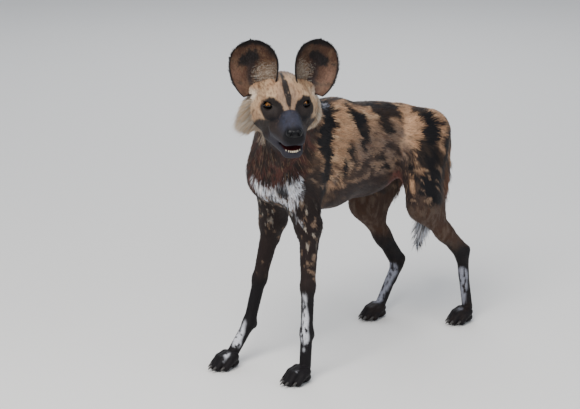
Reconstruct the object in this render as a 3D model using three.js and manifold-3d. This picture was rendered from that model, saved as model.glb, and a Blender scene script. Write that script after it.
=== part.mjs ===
// An African wild dog, life size, standing with its head turned to its left.
// Millimetres, +Z up. Its nose points to -Y before the head turns, and its left side is +X.
// The flesh is a set of rods and eggs melted together, skinned on a grid, and parted by thin plane cuts.
import * as THREE from "three";
import { mergeVertices } from "three/addons/utils/BufferGeometryUtils.js";
import Module from "manifold-3d";

const wasm = await Module();
wasm.setup();

// Driving dimensions
const GAP = 0.3; // between two parts that touch
const TOE_SPREAD = 12.5; // between the middle lines of neighbouring toes
const EYE_RADIUS = 11;
const EYE_ASIDE = 39; // from the midline to the centre of each eye
const EYE_BACK = 6;
const EYE_TURN = 28; // degrees that each eye looks out
const EYE_SLANT = 12;
const LID_RADIUS = 13.6;
const EAR_HEIGHT = 124; // from the sunken root to the tip
const EAR_WIDTH = 116;
const EAR_LEAN = { left: 18, right: 9 }; // degrees that each ear leans out
const EAR_TURN = 15; // degrees that each ear's cup faces out
const CLAW_LENGTH = 15;
const RUFF_LENGTH = 58; // the long locks of the cheeks
const BIB_LENGTH = 62; // the locks of the throat
const BRUSH_LENGTH = 78; // the locks of the tail
const FRINGE_LENGTH = 40; // the locks behind the thighs

const at = (x, y, z) => new THREE.Vector3(x, y, z);
const SIDES = { left: 1, right: -1 };

// Joints, measured from the middle of the stance at floor level
const JOINTS = {
  left: {
    shoulder: at(62, 44, 520),
    elbow: at(84, 86, 372),
    wrist: at(110, 50, 118),
    forepaw: at(118, 16, 0),
    hip: at(58, 560, 522),
    knee: at(98, 500, 352),
    hock: at(106, 648, 184),
    hindpaw: at(114, 648, 0),
  },
  right: {
    shoulder: at(-52, 74, 506),
    elbow: at(-70, 114, 350),
    wrist: at(-90, 50, 98),
    forepaw: at(-86, -32, 0),
    hip: at(-58, 548, 520),
    knee: at(-94, 488, 322),
    hock: at(-84, 606, 128),
    hindpaw: at(-76, 514, 0),
  },
};

// The head's own frame: its origin is midway between the eyes, and its nose points to -Y
const HEAD_PLACE = at(150, -62, 724);
const HEAD_TURN = THREE.MathUtils.degToRad(54);
const HEAD_NOD = THREE.MathUtils.degToRad(3);
const headFrame = new THREE.Matrix4()
  .makeTranslation(HEAD_PLACE.x, HEAD_PLACE.y, HEAD_PLACE.z)
  .multiply(new THREE.Matrix4().makeRotationZ(HEAD_TURN))
  .multiply(new THREE.Matrix4().makeRotationX(HEAD_NOD));
const inHead = (x, y, z) => at(x, y, z).applyMatrix4(headFrame);

// Fields: each is a function of x, y, z that is negative inside

// A rod with round ends that tapers from radius ra at a to rb at b. A wide below 1 narrows it from side to side.
function rod(a, b, ra, rb, wide = 1) {
  const d = b.clone().sub(a);
  const lengthSq = d.lengthSq();
  return (x, y, z) => {
    const px = x - a.x;
    const py = y - a.y;
    const pz = z - a.z;
    const t = Math.min(1, Math.max(0, (px * d.x + py * d.y + pz * d.z) / lengthSq));
    const across = (px - t * d.x) / wide;
    const reach = Math.hypot(across, py - t * d.y, pz - t * d.z);
    return (reach - ra - t * (rb - ra)) * Math.min(1, wide);
  };
}

// An egg of three radii about a centre
function egg(c, rx, ry, rz) {
  return (x, y, z) => {
    const px = (x - c.x) / rx;
    const py = (y - c.y) / ry;
    const pz = (z - c.z) / rz;
    const near = Math.hypot(px, py, pz);
    const slope = Math.hypot(px / rx, py / ry, pz / rz);
    return slope < 1e-9 ? -Math.min(rx, ry, rz) : (near * (near - 1)) / slope;
  };
}

// The fields of a list joined, each melting into the rest over its own width
function melt(list) {
  return (x, y, z) => {
    let sum = 1e6;
    for (const [field, width] of list) {
      const value = field(x, y, z);
      const h = Math.max(width - Math.abs(sum - value), 0) / width;
      sum = Math.min(sum, value) - (h * h * width) / 4;
    }
    return sum;
  };
}

// A field given in another frame
function placed(field, frame) {
  const e = frame.clone().invert().elements;
  return (x, y, z) =>
    field(
      e[0] * x + e[4] * y + e[8] * z + e[12],
      e[1] * x + e[5] * y + e[9] * z + e[13],
      e[2] * x + e[6] * y + e[10] * z + e[14],
    );
}

const cutAway = (field, other, width) => (x, y, z) => {
  const a = field(x, y, z);
  const b = -other(x, y, z);
  const h = Math.max(width - Math.abs(a - b), 0) / width;
  return Math.max(a, b) + (h * h * width) / 4;
};

// The torso, with the shoulders and the tops of the legs
const trunk = [
  [egg(at(0, 190, 528), 84, 190, 132), 1],
  [rod(at(4, 36, 492), at(0, 240, 446), 52, 62), 50],
  [egg(at(0, 370, 500), 76, 170, 118), 40],
  [rod(at(0, 260, 588), at(0, 505, 552), 56, 54), 40],
  [egg(at(0, 540, 504), 66, 84, 74), 40],
  [rod(at(0, 110, 622), at(0, 270, 606), 40, 40), 40],
];

function limbFlesh(side) {
  const j = JOINTS[side];
  const s = SIDES[side];
  const blade = at(30 * s, 140, 622);
  const rump = at(46 * s, 612, 478);
  const shin = j.knee.clone().lerp(j.hock, 0.2);
  return [
    [rod(j.shoulder, blade, 38, 30), 40],
    [rod(at(s * 48, j.shoulder.y + 56, j.shoulder.z), j.elbow.clone().add(at(-8 * s, 6, 18)), 50, 31), 36],
    [rod(j.shoulder.clone().add(at(-10 * s, 0, -10)), j.elbow.clone().add(at(0, -10, 6)), 38, 27), 30],
    [rod(j.elbow, j.wrist.clone().lerp(j.elbow, 0.45), 29, 20, 0.9), 22],
    [rod(j.elbow.clone().add(at(0, 18, 12)), j.elbow.clone().add(at(0, 6, -40)), 15, 14), 16],
    [rod(j.wrist.clone().lerp(j.elbow, 0.45), j.wrist, 19, 17, 0.92), 14],
    [rod(j.hip, j.knee, 68, 42, 0.8), 40],
    [rod(at(56 * s, 500, 505), j.knee.clone().add(at(-4 * s, -4, 20)), 46, 36, 0.8), 36],
    [rod(rump, shin.clone().add(at(-4 * s, 22, 10)), 42, 26, 0.8), 34],
    [rod(j.knee, j.hock.clone().lerp(j.knee, 0.45), 38, 23, 0.8), 26],
    [rod(j.hock.clone().lerp(j.knee, 0.5), j.hock, 22, 17, 0.85), 18],
    [rod(j.hock.clone().lerp(j.knee, 0.5).add(at(0, 14, 0)), j.hock.clone().add(at(0, 16, 14)), 12, 12), 14],
  ];
}

// A paw and its pastern: four toes, a heel pad and the bones up to the joint above
const PAWS = {
  fore: { width: 1, pastern: 16.5, knuckle: 15 },
  hind: { width: 0.92, pastern: 15.5, knuckle: 14 },
};

// The joints of a toe, counted from the paw's middle line
const TOES = [-1.5, -0.5, 0.5, 1.5];
function toeOf(n, paw, width) {
  const middle = Math.abs(n) < 1;
  const across = n * TOE_SPREAD * width;
  const forward = middle ? -14 : 0;
  return {
    root: paw.clone().add(at(across * 0.9, forward * 0.4 + 8, 30)),
    bend: paw.clone().add(at(across * 1.12, forward - 10, middle ? 27 : 24)),
    tip: paw.clone().add(at(across * 1.18, forward - 27, 11)),
  };
}

function pawFlesh(side, end) {
  const j = JOINTS[side];
  const joint = end === "fore" ? j.wrist : j.hock;
  const paw = end === "fore" ? j.forepaw : j.hindpaw;
  const { width, pastern, knuckle } = PAWS[end];
  const list = [[rod(joint, paw.clone().add(at(0, 20, 36)), pastern, pastern * 0.98, 0.95), 14]];
  if (end === "fore") list.push([egg(joint.clone().add(at(0, 14, -8)), 10, 9, 12), 10]);
  else {
    const below = joint.clone().lerp(paw, 0.3);
    list.push([rod(joint.clone().add(at(0, 14, 12)), below.add(at(0, 8, 0)), 12, 10), 12]);
  }
  list.push([egg(paw.clone().add(at(0, 8, 12)), 25 * width, 24, 14), 12]);
  for (const n of TOES) {
    const { root, bend, tip } = toeOf(n, paw, width);
    list.push([rod(root, bend, knuckle * 0.86, knuckle * 0.8), 8]);
    list.push([rod(bend, tip, knuckle * 0.8, knuckle * 0.72), 5]);
  }
  return list;
}

// The neck runs from between the shoulders to the back of the skull
const neckRoot = at(8, 86, 566);
const neckTop = inHead(0, 92, -22);
const neck = [
  [rod(neckRoot, neckTop, 76, 60), 50],
  [rod(at(0, 130, 616), inHead(0, 84, 4), 44, 44), 40],
  [rod(at(12, 28, 520), inHead(0, 40, -72), 48, 40), 40],
];

// The head, in its own frame
const skull = [
  [egg(at(0, 52, 8), 58, 62, 48), 1],
  [egg(at(0, 12, 14), 44, 34, 26), 24],
  [rod(at(0, -4, -6), at(0, -96, -31), 21, 15), 22],
  [rod(at(0, -8, -36), at(0, -78, -48), 36, 25), 20],
  [egg(at(0, -97, -42), 20, 12, 15), 10],
];
for (const s of Object.values(SIDES)) {
  skull.push(
    [egg(at(45 * s, 40, -28), 27, 50, 45), 26],
    [egg(at(60 * s, 66, 24), 26, 26, 28), 22],
    [egg(at(64 * s, 60, -34), 24, 28, 36), 24],
    [rod(at(40 * s, -10, -20), at(62 * s, 40, -12), 14, 16), 20],
    [rod(at(24 * s, -6, 17), at(45 * s, 4, 17), 12, 9), 14],
    [rod(at(27 * s, -22, -55), at(13 * s, -92, -60), 18, 15), 14],
  );
}
const jaw = [
  [rod(at(0, 46, -74), at(0, -30, -88), 36, 20), 1],
  [egg(at(0, -78, -93), 21, 17, 13), 14],
];
for (const s of Object.values(SIDES))
  jaw.push([rod(at(34 * s, 20, -76), at(11 * s, -78, -92), 18, 12), 14]);

// The open mouth: a wedge from its corners to the front, between the lips
const mouth = melt([
  [egg(at(0, -70, -78), 27, 52, 6), 1],
  [egg(at(0, -88, -79), 19, 30, 8), 6],
]);
const headFlesh = placed(
  cutAway(melt([...skull, ...jaw.map(([f, w]) => [f, Math.max(w, 8)])]), mouth, 4),
  headFrame,
);

const fleshList = [...trunk, ...neck, [headFlesh, 26]];
for (const side of Object.keys(SIDES)) {
  fleshList.push(...limbFlesh(side), ...pawFlesh(side, "fore"), ...pawFlesh(side, "hind"));
}
const flesh = melt(fleshList);

// Meshes of fields

// A closed mesh of a field's surface inside a box: one vertex for each cell that it crosses, moved on to the surface
function skinned(field, low, high, cell) {
  const inBox = (x, y, z) =>
    Math.max(
      field(x, y, z),
      low.x - x,
      x - high.x,
      low.y - y,
      y - high.y,
      low.z - z,
      z - high.z,
    );
  const start = low.clone().addScaledVector(cell, -1.37);
  const n = ["x", "y", "z"].map((k) => Math.ceil((high[k] - start[k]) / cell[k]) + 3);
  const index = (i, j, k) => i + n[0] * (j + n[1] * k);
  const values = new Float32Array(n[0] * n[1] * n[2]);
  for (let k = 0; k < n[2]; k++)
    for (let j = 0; j < n[1]; j++)
      for (let i = 0; i < n[0]; i++) {
        const value = inBox(start.x + i * cell.x, start.y + j * cell.y, start.z + k * cell.z);
        values[index(i, j, k)] = value === 0 ? 1e-4 : value;
      }
  openTouchingCorners(values, n, index);

  const points = [];
  const vertexOf = new Map();
  const steps = [0, 1].flatMap((c) => [0, 1].flatMap((b) => [0, 1].map((a) => [a, b, c])));
  for (let k = 0; k < n[2] - 1; k++)
    for (let j = 0; j < n[1] - 1; j++)
      for (let i = 0; i < n[0] - 1; i++) {
        const corner = steps.map(([a, b, c]) => values[index(i + a, j + b, k + c)]);
        if (corner.every((v) => v < 0) || corner.every((v) => v > 0)) continue;
        const sum = at(0, 0, 0);
        let count = 0;
        for (let p = 0; p < 8; p++)
          for (const bit of [1, 2, 4]) {
            const q = p | bit;
            if (q === p || corner[p] < 0 === corner[q] < 0) continue;
            const t = corner[p] / (corner[p] - corner[q]);
            const [a, b, c] = steps[p];
            const [d, e, f] = steps[q];
            sum.add(at(a + t * (d - a), b + t * (e - b), c + t * (f - c)));
            count++;
          }
        const point = sum.divideScalar(count).add(at(i, j, k)).multiply(cell).add(start);
        vertexOf.set(index(i, j, k), points.length);
        points.push(settled(inBox, point, cell));
      }

  const faces = [];
  const quad = (a, b, c, d, flip) => {
    const [p, q, r, s] = [a, b, c, d].map((v) => vertexOf.get(v));
    const short = points[p].distanceTo(points[r]) <= points[q].distanceTo(points[s]);
    const halves = short ? [[p, q, r], [p, r, s]] : [[q, r, s], [q, s, p]];
    for (const half of halves) faces.push(...(flip ? half.reverse() : half));
  };
  for (let k = 1; k < n[2] - 1; k++)
    for (let j = 1; j < n[1] - 1; j++)
      for (let i = 1; i < n[0] - 1; i++) {
        const inside = values[index(i, j, k)] < 0;
        if (inside !== values[index(i + 1, j, k)] < 0)
          quad(index(i, j - 1, k - 1), index(i, j, k - 1), index(i, j, k), index(i, j - 1, k), !inside);
        if (inside !== values[index(i, j + 1, k)] < 0)
          quad(index(i - 1, j, k - 1), index(i - 1, j, k), index(i, j, k), index(i, j, k - 1), !inside);
        if (inside !== values[index(i, j, k + 1)] < 0)
          quad(index(i - 1, j - 1, k), index(i, j - 1, k), index(i, j, k), index(i - 1, j, k), !inside);
      }
  return meshed(points, faces);
}

// Where two corners of a grid square are inside and touch only across its diagonal, one more is taken in
function openTouchingCorners(values, n, index) {
  const axes = [[1, 0, 0], [0, 1, 0], [0, 0, 1]];
  for (let pass = 0, changed = true; changed && pass < 8; pass++) {
    changed = false;
    for (let k = 0; k < n[2] - 1; k++)
      for (let j = 0; j < n[1] - 1; j++)
        for (let i = 0; i < n[0] - 1; i++)
          for (const [u, w] of [[0, 1], [0, 2], [1, 2]]) {
            const [a, b] = [axes[u], axes[w]];
            const square = [
              index(i, j, k),
              index(i + a[0], j + a[1], k + a[2]),
              index(i + a[0] + b[0], j + a[1] + b[1], k + a[2] + b[2]),
              index(i + b[0], j + b[1], k + b[2]),
            ];
            const inside = square.map((q) => values[q] < 0);
            if (inside[0] !== inside[2] || inside[1] !== inside[3] || inside[0] === inside[1]) continue;
            const open = square.filter((q) => values[q] > 0);
            const near = values[open[0]] < values[open[1]] ? open[0] : open[1];
            values[near] = -1e-3;
            changed = true;
          }
  }
}

// The point moved along the field's slope to where the field is zero, by less than a cell
function settled(field, point, cell) {
  const p = point.clone();
  const step = 0.5;
  for (let round = 0; round < 4; round++) {
    const value = field(p.x, p.y, p.z);
    const slope = at(
      field(p.x + step, p.y, p.z) - field(p.x - step, p.y, p.z),
      field(p.x, p.y + step, p.z) - field(p.x, p.y - step, p.z),
      field(p.x, p.y, p.z + step) - field(p.x, p.y, p.z - step),
    ).divideScalar(2 * step);
    const steep = slope.lengthSq();
    if (steep < 0.05) break;
    p.addScaledVector(slope, -value / steep);
  }
  const reach = p.clone().sub(point).divide(cell).length();
  return reach < 0.9 ? p : point.clone().lerp(p, 0.9 / reach);
}

function meshed(points, faces) {
  const geometry = new THREE.BufferGeometry().setFromPoints(points);
  return geometry.setIndex(faces);
}

// Closed forms made of rings: each ring is a list of the same number of points, and the ends are capped
function lofted(rings) {
  const around = rings[0].length;
  const points = rings.flat();
  const faces = [];
  for (let r = 0; r < rings.length - 1; r++)
    for (let i = 0; i < around; i++) {
      const j = (i + 1) % around;
      const [a, b, c, d] = [r * around + i, r * around + j, (r + 1) * around + j, (r + 1) * around + i];
      faces.push(a, b, c, a, c, d);
    }
  for (const [ring, first] of [[0, true], [rings.length - 1, false]]) {
    const middle = rings[ring].reduce((sum, p) => sum.add(p), at(0, 0, 0)).divideScalar(around);
    const centre = points.length;
    points.push(middle);
    for (let i = 0; i < around; i++) {
      const a = ring * around + i;
      const b = ring * around + ((i + 1) % around);
      faces.push(...(first ? [centre, b, a] : [centre, a, b]));
    }
  }
  return meshed(points, faces);
}

// Solids

function solid(geometry, frame = new THREE.Matrix4()) {
  const g = geometry.clone().applyMatrix4(frame);
  const position = g.getAttribute("position");
  const faces = new Uint32Array(g.index.array);
  const made = new wasm.Manifold(
    new wasm.Mesh({ numProp: 3, vertProperties: new Float32Array(position.array), triVerts: faces }),
  );
  if (made.volume() > 0) return made;
  for (let i = 0; i < faces.length; i += 3) [faces[i + 1], faces[i + 2]] = [faces[i + 2], faces[i + 1]];
  return new wasm.Manifold(
    new wasm.Mesh({ numProp: 3, vertProperties: new Float32Array(position.array), triVerts: faces }),
  );
}

// A three.js shape with the vertices of its seams and poles merged
function seamless(geometry) {
  const g = geometry.clone();
  g.deleteAttribute("normal");
  g.deleteAttribute("uv");
  return mergeVertices(g, 1e-4);
}

// A block that fills the space beyond a plane: what lies on the side that its normal points to
const BLOCK = 1600;
function beyond(point, normal, back = 0) {
  const away = normal.clone().normalize();
  const turn = new THREE.Quaternion().setFromUnitVectors(at(0, 0, 1), away);
  const frame = new THREE.Matrix4()
    .makeTranslation(...point.clone().addScaledVector(away, BLOCK / 2 - back).toArray())
    .multiply(new THREE.Matrix4().makeRotationFromQuaternion(turn));
  return solid(seamless(new THREE.BoxGeometry(BLOCK, BLOCK, BLOCK)), frame);
}

const largest = (made) =>
  made.decompose().reduce((best, piece) => (piece.volume() > best.volume() ? piece : best));

// Planes that part the body: the second name lies on the side that the normal points to
const CUTS = {
  neck: { point: at(6, 62, 572), normal: at(0.1, -0.74, 0.66) },
  head: { point: inHead(0, 78, -40), normal: at(0, 0, 0) },
};
CUTS.head.normal = inHead(0, 78 - 100, -40 + 42).sub(inHead(0, 78, -40));

function legCuts(side) {
  const j = JOINTS[side];
  const s = SIDES[side];
  return {
    foreleg: { point: j.elbow.clone().add(at(0, 0, 46)), normal: at(0.62 * s, 0.06, -1) },
    forepaw: { point: j.wrist.clone(), normal: j.forepaw.clone().sub(j.wrist).add(at(0, 20, 20)) },
    thigh: { point: j.knee.clone().lerp(j.hip, 0.5), normal: at(0.9 * s, 0.1, -1) },
    shank: { point: j.knee.clone().add(at(0, 0, -16)), normal: at(0, 0.45, -1) },
    hindpaw: { point: j.hock.clone().add(at(0, 4, -22)), normal: at(0, side === "left" ? -0.1 : -0.5, -1) },
  };
}

// The part of the flesh inside a box, skinned with its own cell, and cut by the planes that bound it
function cutPart({ low, high, cell, keep = [], drop = [] }) {
  let made = solid(skinned(flesh, low, high, cell));
  for (const { point, normal } of keep)
    made = made.subtract(beyond(point, normal.clone().negate(), GAP / 2));
  for (const { point, normal } of drop) made = made.subtract(beyond(point, normal, GAP / 2));
  return largest(made);
}

const FLOOR = { point: at(0, 0, 0), normal: at(0, 0, -1) };

const parts = new Map();
const degrees = THREE.MathUtils.degToRad;
const moved = (x, y, z) => new THREE.Matrix4().makeTranslation(x, y, z);
const turned = (axis, angle) => new THREE.Matrix4().makeRotationAxis(axis, degrees(angle));
const X = at(1, 0, 0);
const Y = at(0, 1, 0);
const Z = at(0, 0, 1);

// A ball, or an egg where it is scaled
function ball(radius, around, frame, [sx, sy, sz] = [1, 1, 1]) {
  const geometry = new THREE.SphereGeometry(radius, around, Math.round(around * 0.7)).rotateX(Math.PI / 2);
  return solid(seamless(geometry.scale(sx, sy, sz)), frame);
}

// What stands out of the solid that it grows from, with the usual gap between them
function seated(piece, base, way) {
  const shift = way.clone().normalize().multiplyScalar(GAP);
  return largest(piece.subtract(base)).translate(shift.toArray());
}

// A tube of round rings along a curve, with a radius given for any share of its length
function tube(curve, radiusAt, rings, around) {
  const list = [];
  for (let r = 0; r < rings; r++) {
    const share = r / (rings - 1);
    const middle = curve.getPointAt(share);
    const along = curve.getTangentAt(share);
    const side = at(1, 0, 0).addScaledVector(along, -along.x).normalize();
    const front = along.clone().cross(side);
    const ring = [];
    for (let i = 0; i < around; i++) {
      const angle = (i / around) * 2 * Math.PI;
      const radius = radiusAt(share);
      ring.push(
        middle
          .clone()
          .addScaledVector(side, radius * Math.cos(angle))
          .addScaledVector(front, radius * Math.sin(angle)),
      );
    }
    list.push(ring);
  }
  return lofted(list);
}

function buildTorso() {
  let made = solid(skinned(flesh, at(-170, -60, 330), at(170, 700, 720), at(31, 36, 31)));
  made = made.subtract(beyond(CUTS.neck.point, CUTS.neck.normal, GAP / 2));
  for (const side of Object.keys(SIDES)) {
    const cuts = legCuts(side);
    const s = SIDES[side];
    const j = JOINTS[side];
    const spans = [
      [cuts.foreleg, j.wrist.y - 60, j.elbow.y + 80],
      [cuts.thigh, j.knee.y - 90, 740],
    ];
    for (const [cut, back, front] of spans) {
      const zone = solid(
        seamless(new THREE.BoxGeometry(220, front - back, 800)),
        moved(110 * s, (front + back) / 2, 300),
      );
      made = made.subtract(beyond(cut.point, cut.normal, GAP / 2).intersect(zone));
    }
  }
  return largest(made);
}

function buildLegs() {
  for (const side of Object.keys(SIDES)) {
    const s = SIDES[side];
    const j = JOINTS[side];
    const cuts = legCuts(side);
    const [x0, x1] = s > 0 ? [GAP / 2, 190] : [-190, -GAP / 2];
    const boxOf = (y0, y1, z0, z1) => ({ low: at(x0, y0, z0), high: at(x1, y1, z1) });
    parts.set(
      `foreleg_${side}`,
      cutPart({
        ...boxOf(j.wrist.y - 60, j.elbow.y + 80, j.wrist.z - 30, j.elbow.z + 110),
        cell: at(12.5, 12.5, 28),
        keep: [cuts.foreleg],
        drop: [cuts.forepaw],
      }),
    );
    const forepaw = cutPart({
      ...boxOf(j.forepaw.y - 80, j.wrist.y + 50, -10, j.wrist.z + 26),
      cell: at(8, 14, 13),
      keep: [cuts.forepaw],
      drop: [FLOOR],
    });
    parts.set(`forepaw_${side}`, clawed(forepaw, j.forepaw, PAWS.fore.width));
    const thigh = cutPart({
      ...boxOf(j.knee.y - 90, 740, j.knee.z - 90, j.knee.z + 260),
      cell: at(18, 20, 20),
      keep: [cuts.thigh],
      drop: [cuts.shank],
    });
    const shank = cutPart({
      ...boxOf(j.knee.y - 80, j.hock.y + 80, j.hock.z - 50, j.knee.z + 90),
      cell: at(13, 16, 22),
      keep: [cuts.shank],
      drop: [cuts.hindpaw],
    });
    parts.set(`thigh_${side}`, withLocks(thigh, fringeLocks(side), [shank]));
    parts.set(`shank_${side}`, shank);
    const hindpaw = cutPart({
      ...boxOf(j.hindpaw.y - 80, j.hock.y + 60, -10, j.hock.z + 30),
      cell: at(8, 14, 16),
      keep: [cuts.hindpaw],
      drop: [FLOOR],
    });
    parts.set(`hindpaw_${side}`, clawed(hindpaw, j.hindpaw, PAWS.hind.width));
  }
}

// One claw on each toe of a paw, joined to it
function clawed(made, paw, width) {
  const list = [made];
  for (const n of TOES) {
    const toe = toeOf(n, paw, width);
    const tip = toe.tip.clone().add(at(0, -6, 1));
    const path = new THREE.QuadraticBezierCurve3(
      tip,
      tip.clone().add(at(0, -CLAW_LENGTH * 0.6, 1)),
      tip.clone().add(at(0, -CLAW_LENGTH, -CLAW_LENGTH * 0.4)),
    );
    list.push(solid(tube(path, (t) => 3.4 - 2.9 * t, 3, 4)));
  }
  return largest(wasm.Manifold.union(list));
}

// The head, with lids round each eye, and the lower jaw
function eyeFrame(side) {
  const s = SIDES[side];
  return headFrame
    .clone()
    .multiply(moved(EYE_ASIDE * s, EYE_BACK, 0))
    .multiply(turned(Z, EYE_TURN * s))
    .multiply(turned(Y, -EYE_SLANT * s));
}

function lidOpening(frame) {
  const rings = [-2, -24].map((depth) => {
    const ring = [];
    for (let i = 0; i < 12; i++) {
      const angle = (i / 12) * 2 * Math.PI;
      const half = Math.sin(angle) > 0 ? 6.4 : 5.4;
      ring.push(at(10.5 * Math.cos(angle), depth, half * Math.sin(angle)));
    }
    return ring;
  });
  return solid(lofted(rings), frame);
}

function buildHead(bareHead) {
  let made = bareHead;
  for (const side of Object.keys(SIDES)) {
    const frame = eyeFrame(side);
    made = made.add(ball(LID_RADIUS, 12, frame));
    made = made.subtract(ball(EYE_RADIUS + GAP, 11, frame)).subtract(lidOpening(frame));
    parts.set(`eye_${side}`, ball(EYE_RADIUS, 11, frame));
  }
  made = largest(made);

  const under = inHead(0, 0.106, -1).sub(inHead(0, 0, 0));
  const ahead = inHead(0, -1, 0).sub(inHead(0, 0, 0));
  const region = (back) =>
    beyond(inHead(0, -20, -70), under, back).intersect(beyond(inHead(0, -16, 0), ahead, back));
  const jawMade = largest(made.intersect(region(GAP / -2)));
  made = largest(made.subtract(region(GAP / 2)));
  parts.set("lower_jaw", largest(wasm.Manifold.union([jawMade, ...teeth()])));

  const noseBall = ball(1, 10, headFrame.clone().multiply(moved(0, -102, -40)), [17.5, 13, 12.5]);
  const nostrils = Object.values(SIDES).map((s) => {
    const frame = headFrame.clone().multiply(moved(7 * s, -113, -40)).multiply(turned(Z, 35 * s));
    return ball(1, 7, frame, [3.4, 8, 3]);
  });
  const nose = noseBall.subtract(wasm.Manifold.union(nostrils));
  parts.set("nose", seated(nose, made, ahead));

  for (const side of Object.keys(SIDES)) {
    const { geometry, up } = earShell(side);
    parts.set(`ear_${side}`, seated(solid(geometry), made, up));
  }
  parts.set("head", withLocks(made, ruffLocks(), [parts.get("neck"), parts.get("lower_jaw")]));
}

// Lower teeth: six incisors between two canines
function teeth() {
  const list = [];
  const tooth = (x, y, z, radius, height, lean) => {
    const rings = [-8, height].map((h, n) => {
      const ring = [];
      for (let i = 0; i < 5; i++) {
        const angle = (i / 5) * 2 * Math.PI;
        const r = radius * [1, 0.5][n];
        ring.push(at(x + r * Math.cos(angle) + lean * h, y + r * Math.sin(angle) - 0.15 * h, z + h));
      }
      return ring;
    });
    list.push(solid(lofted(rings), headFrame));
  };
  for (const s of Object.values(SIDES)) {
    for (const n of [0, 1, 2]) tooth((2 + 4.2 * n) * s, -97 + 1.2 * n * n, -88, 2.2, 6.5, 0);
    tooth(15 * s, -88, -88, 3.6, 13, 0.12 * s);
  }
  return list;
}

// An ear: a round cup, turned to face a little out, whose root is sunk into the head
function earShell(side) {
  const s = SIDES[side];
  const frame = headFrame
    .clone()
    .multiply(moved(56 * s, 66, 14))
    .multiply(turned(Y, EAR_LEAN[side] * s))
    .multiply(turned(Z, EAR_TURN * s));
  const rows = 8;
  const columns = 7;
  const faceOf = (offset) => {
    const grid = [];
    for (let r = 0; r < rows; r++) {
      const share = r / (rows - 1);
      const { half, curl, back } = earSlice(share);
      const arc = half / Math.sin(Math.min(curl, Math.PI / 2));
      const row = [];
      for (let c = 0; c < columns; c++) {
        const across = (c / (columns - 1)) * 2 - 1;
        const angle = across * curl;
        const thick = 1 + 1.2 * (1 - across * across) * (1 - 0.6 * share);
        const reach = arc + offset * thick;
        row.push(
          at(reach * Math.sin(angle), back - arc + reach * Math.cos(angle), share * EAR_HEIGHT).applyMatrix4(frame),
        );
      }
      grid.push(row);
    }
    return grid;
  };
  const up = at(0, 0, 1).transformDirection(frame);
  return { geometry: shell(faceOf(1), faceOf(-1)), up };
}

// Half the width of an ear at a share of its height, the angle that its cup curls to, and how far back it bows
function earSlice(share) {
  const above = Math.max(0, share - 0.55) / 0.46;
  const below = Math.max(0, 0.55 - share) / 0.55;
  const half = (EAR_WIDTH / 2) * Math.sqrt(1 - above * above) * (1 - 0.45 * below * below);
  const curl = degrees(100 - 70 * Math.min(1, share / 0.85));
  return { half, curl, back: 4 + 10 * Math.sin(Math.PI * share) };
}

// A closed sheet between two grids of points of the same size
function shell(outer, inner) {
  const rows = outer.length;
  const columns = outer[0].length;
  const points = [...outer.flat(), ...inner.flat()];
  const under = rows * columns;
  const faces = [];
  const quad = (a, b, c, d) => faces.push(a, b, c, a, c, d);
  for (let r = 0; r < rows - 1; r++)
    for (let c = 0; c < columns - 1; c++) {
      const [a, b] = [r * columns + c, r * columns + c + 1];
      quad(a, b, b + columns, a + columns);
      quad(under + b, under + a, under + a + columns, under + b + columns);
    }
  for (let r = 0; r < rows - 1; r++)
    for (const [c, flip] of [[0, true], [columns - 1, false]]) {
      const [a, b] = [r * columns + c, (r + 1) * columns + c];
      if (flip) quad(b, under + b, under + a, a);
      else quad(a, under + a, under + b, b);
    }
  for (let c = 0; c < columns - 1; c++)
    for (const [r, flip] of [[0, false], [rows - 1, true]]) {
      const [a, b] = [r * columns + c, r * columns + c + 1];
      if (flip) quad(b, under + b, under + a, a);
      else quad(a, under + a, under + b, b);
    }
  return meshed(points, faces);
}

// Where a straight line from inside the flesh comes out of it, and the way that its surface faces there
function surfaceFrom(inside, way, field = flesh) {
  const step = way.clone().normalize();
  let [near, far] = [0, 0];
  while (far < 300 && field(...inside.clone().addScaledVector(step, far).toArray()) < 0) far += 6;
  near = far - 6;
  for (let round = 0; round < 12; round++) {
    const half = (near + far) / 2;
    if (field(...inside.clone().addScaledVector(step, half).toArray()) < 0) near = half;
    else far = half;
  }
  const point = inside.clone().addScaledVector(step, near);
  const [x, y, z] = point.toArray();
  const facing = at(
    field(x + 2, y, z) - field(x - 2, y, z),
    field(x, y + 2, z) - field(x, y - 2, z),
    field(x, y, z + 2) - field(x, y, z - 2),
  ).normalize();
  return { point, facing };
}

// A flat tapered lock: it leaves the surface along its lie, lifts off it, and bends back down to its tip
function lock({ point, facing }, lie, length, { width = 17, thick = 5, lift = 0.42, drop = 0.35, sink = 9 } = {}) {
  const along = lie.clone().addScaledVector(facing, -lie.dot(facing)).normalize();
  const side = along.clone().cross(facing);
  const rings = [];
  for (const [share, full] of [[0, 0.8], [0.36, 1], [0.7, 0.72], [1, 0.16]]) {
    const middle = point
      .clone()
      .addScaledVector(facing, -sink + length * lift * share + sink * share)
      .addScaledVector(along, length * share * (1 - 0.1 * share) - sink * 0.4)
      .add(at(0, 0, -length * drop * share * share));
    const half = (width / 2) * full;
    const deep = (thick / 2) * full;
    rings.push([
      middle.clone().addScaledVector(side, half),
      middle.clone().addScaledVector(facing, deep),
      middle.clone().addScaledVector(side, -half),
      middle.clone().addScaledVector(facing, -deep),
    ]);
  }
  return solid(lofted(rings));
}

// A number between -1 and 1 that is always the same for the same two counts
const varied = (a, b) => 2 * (Math.abs(Math.sin(12.9898 * a + 78.233 * b) * 43758.5453) % 1) - 1;

// A solid spread by the gap along each axis
function grown(made) {
  const ways = [X, Y, Z].flatMap((axis) => [axis, axis.clone().negate()]);
  return wasm.Manifold.union(ways.map((way) => made.translate(way.clone().multiplyScalar(GAP).toArray())));
}

// A solid with its locks joined to it, cut clear of the solids that they lie over
function withLocks(made, locks, near = []) {
  let hair = wasm.Manifold.union(locks);
  for (const other of near) hair = hair.subtract(grown(other));
  return largest(made.add(hair));
}

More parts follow.
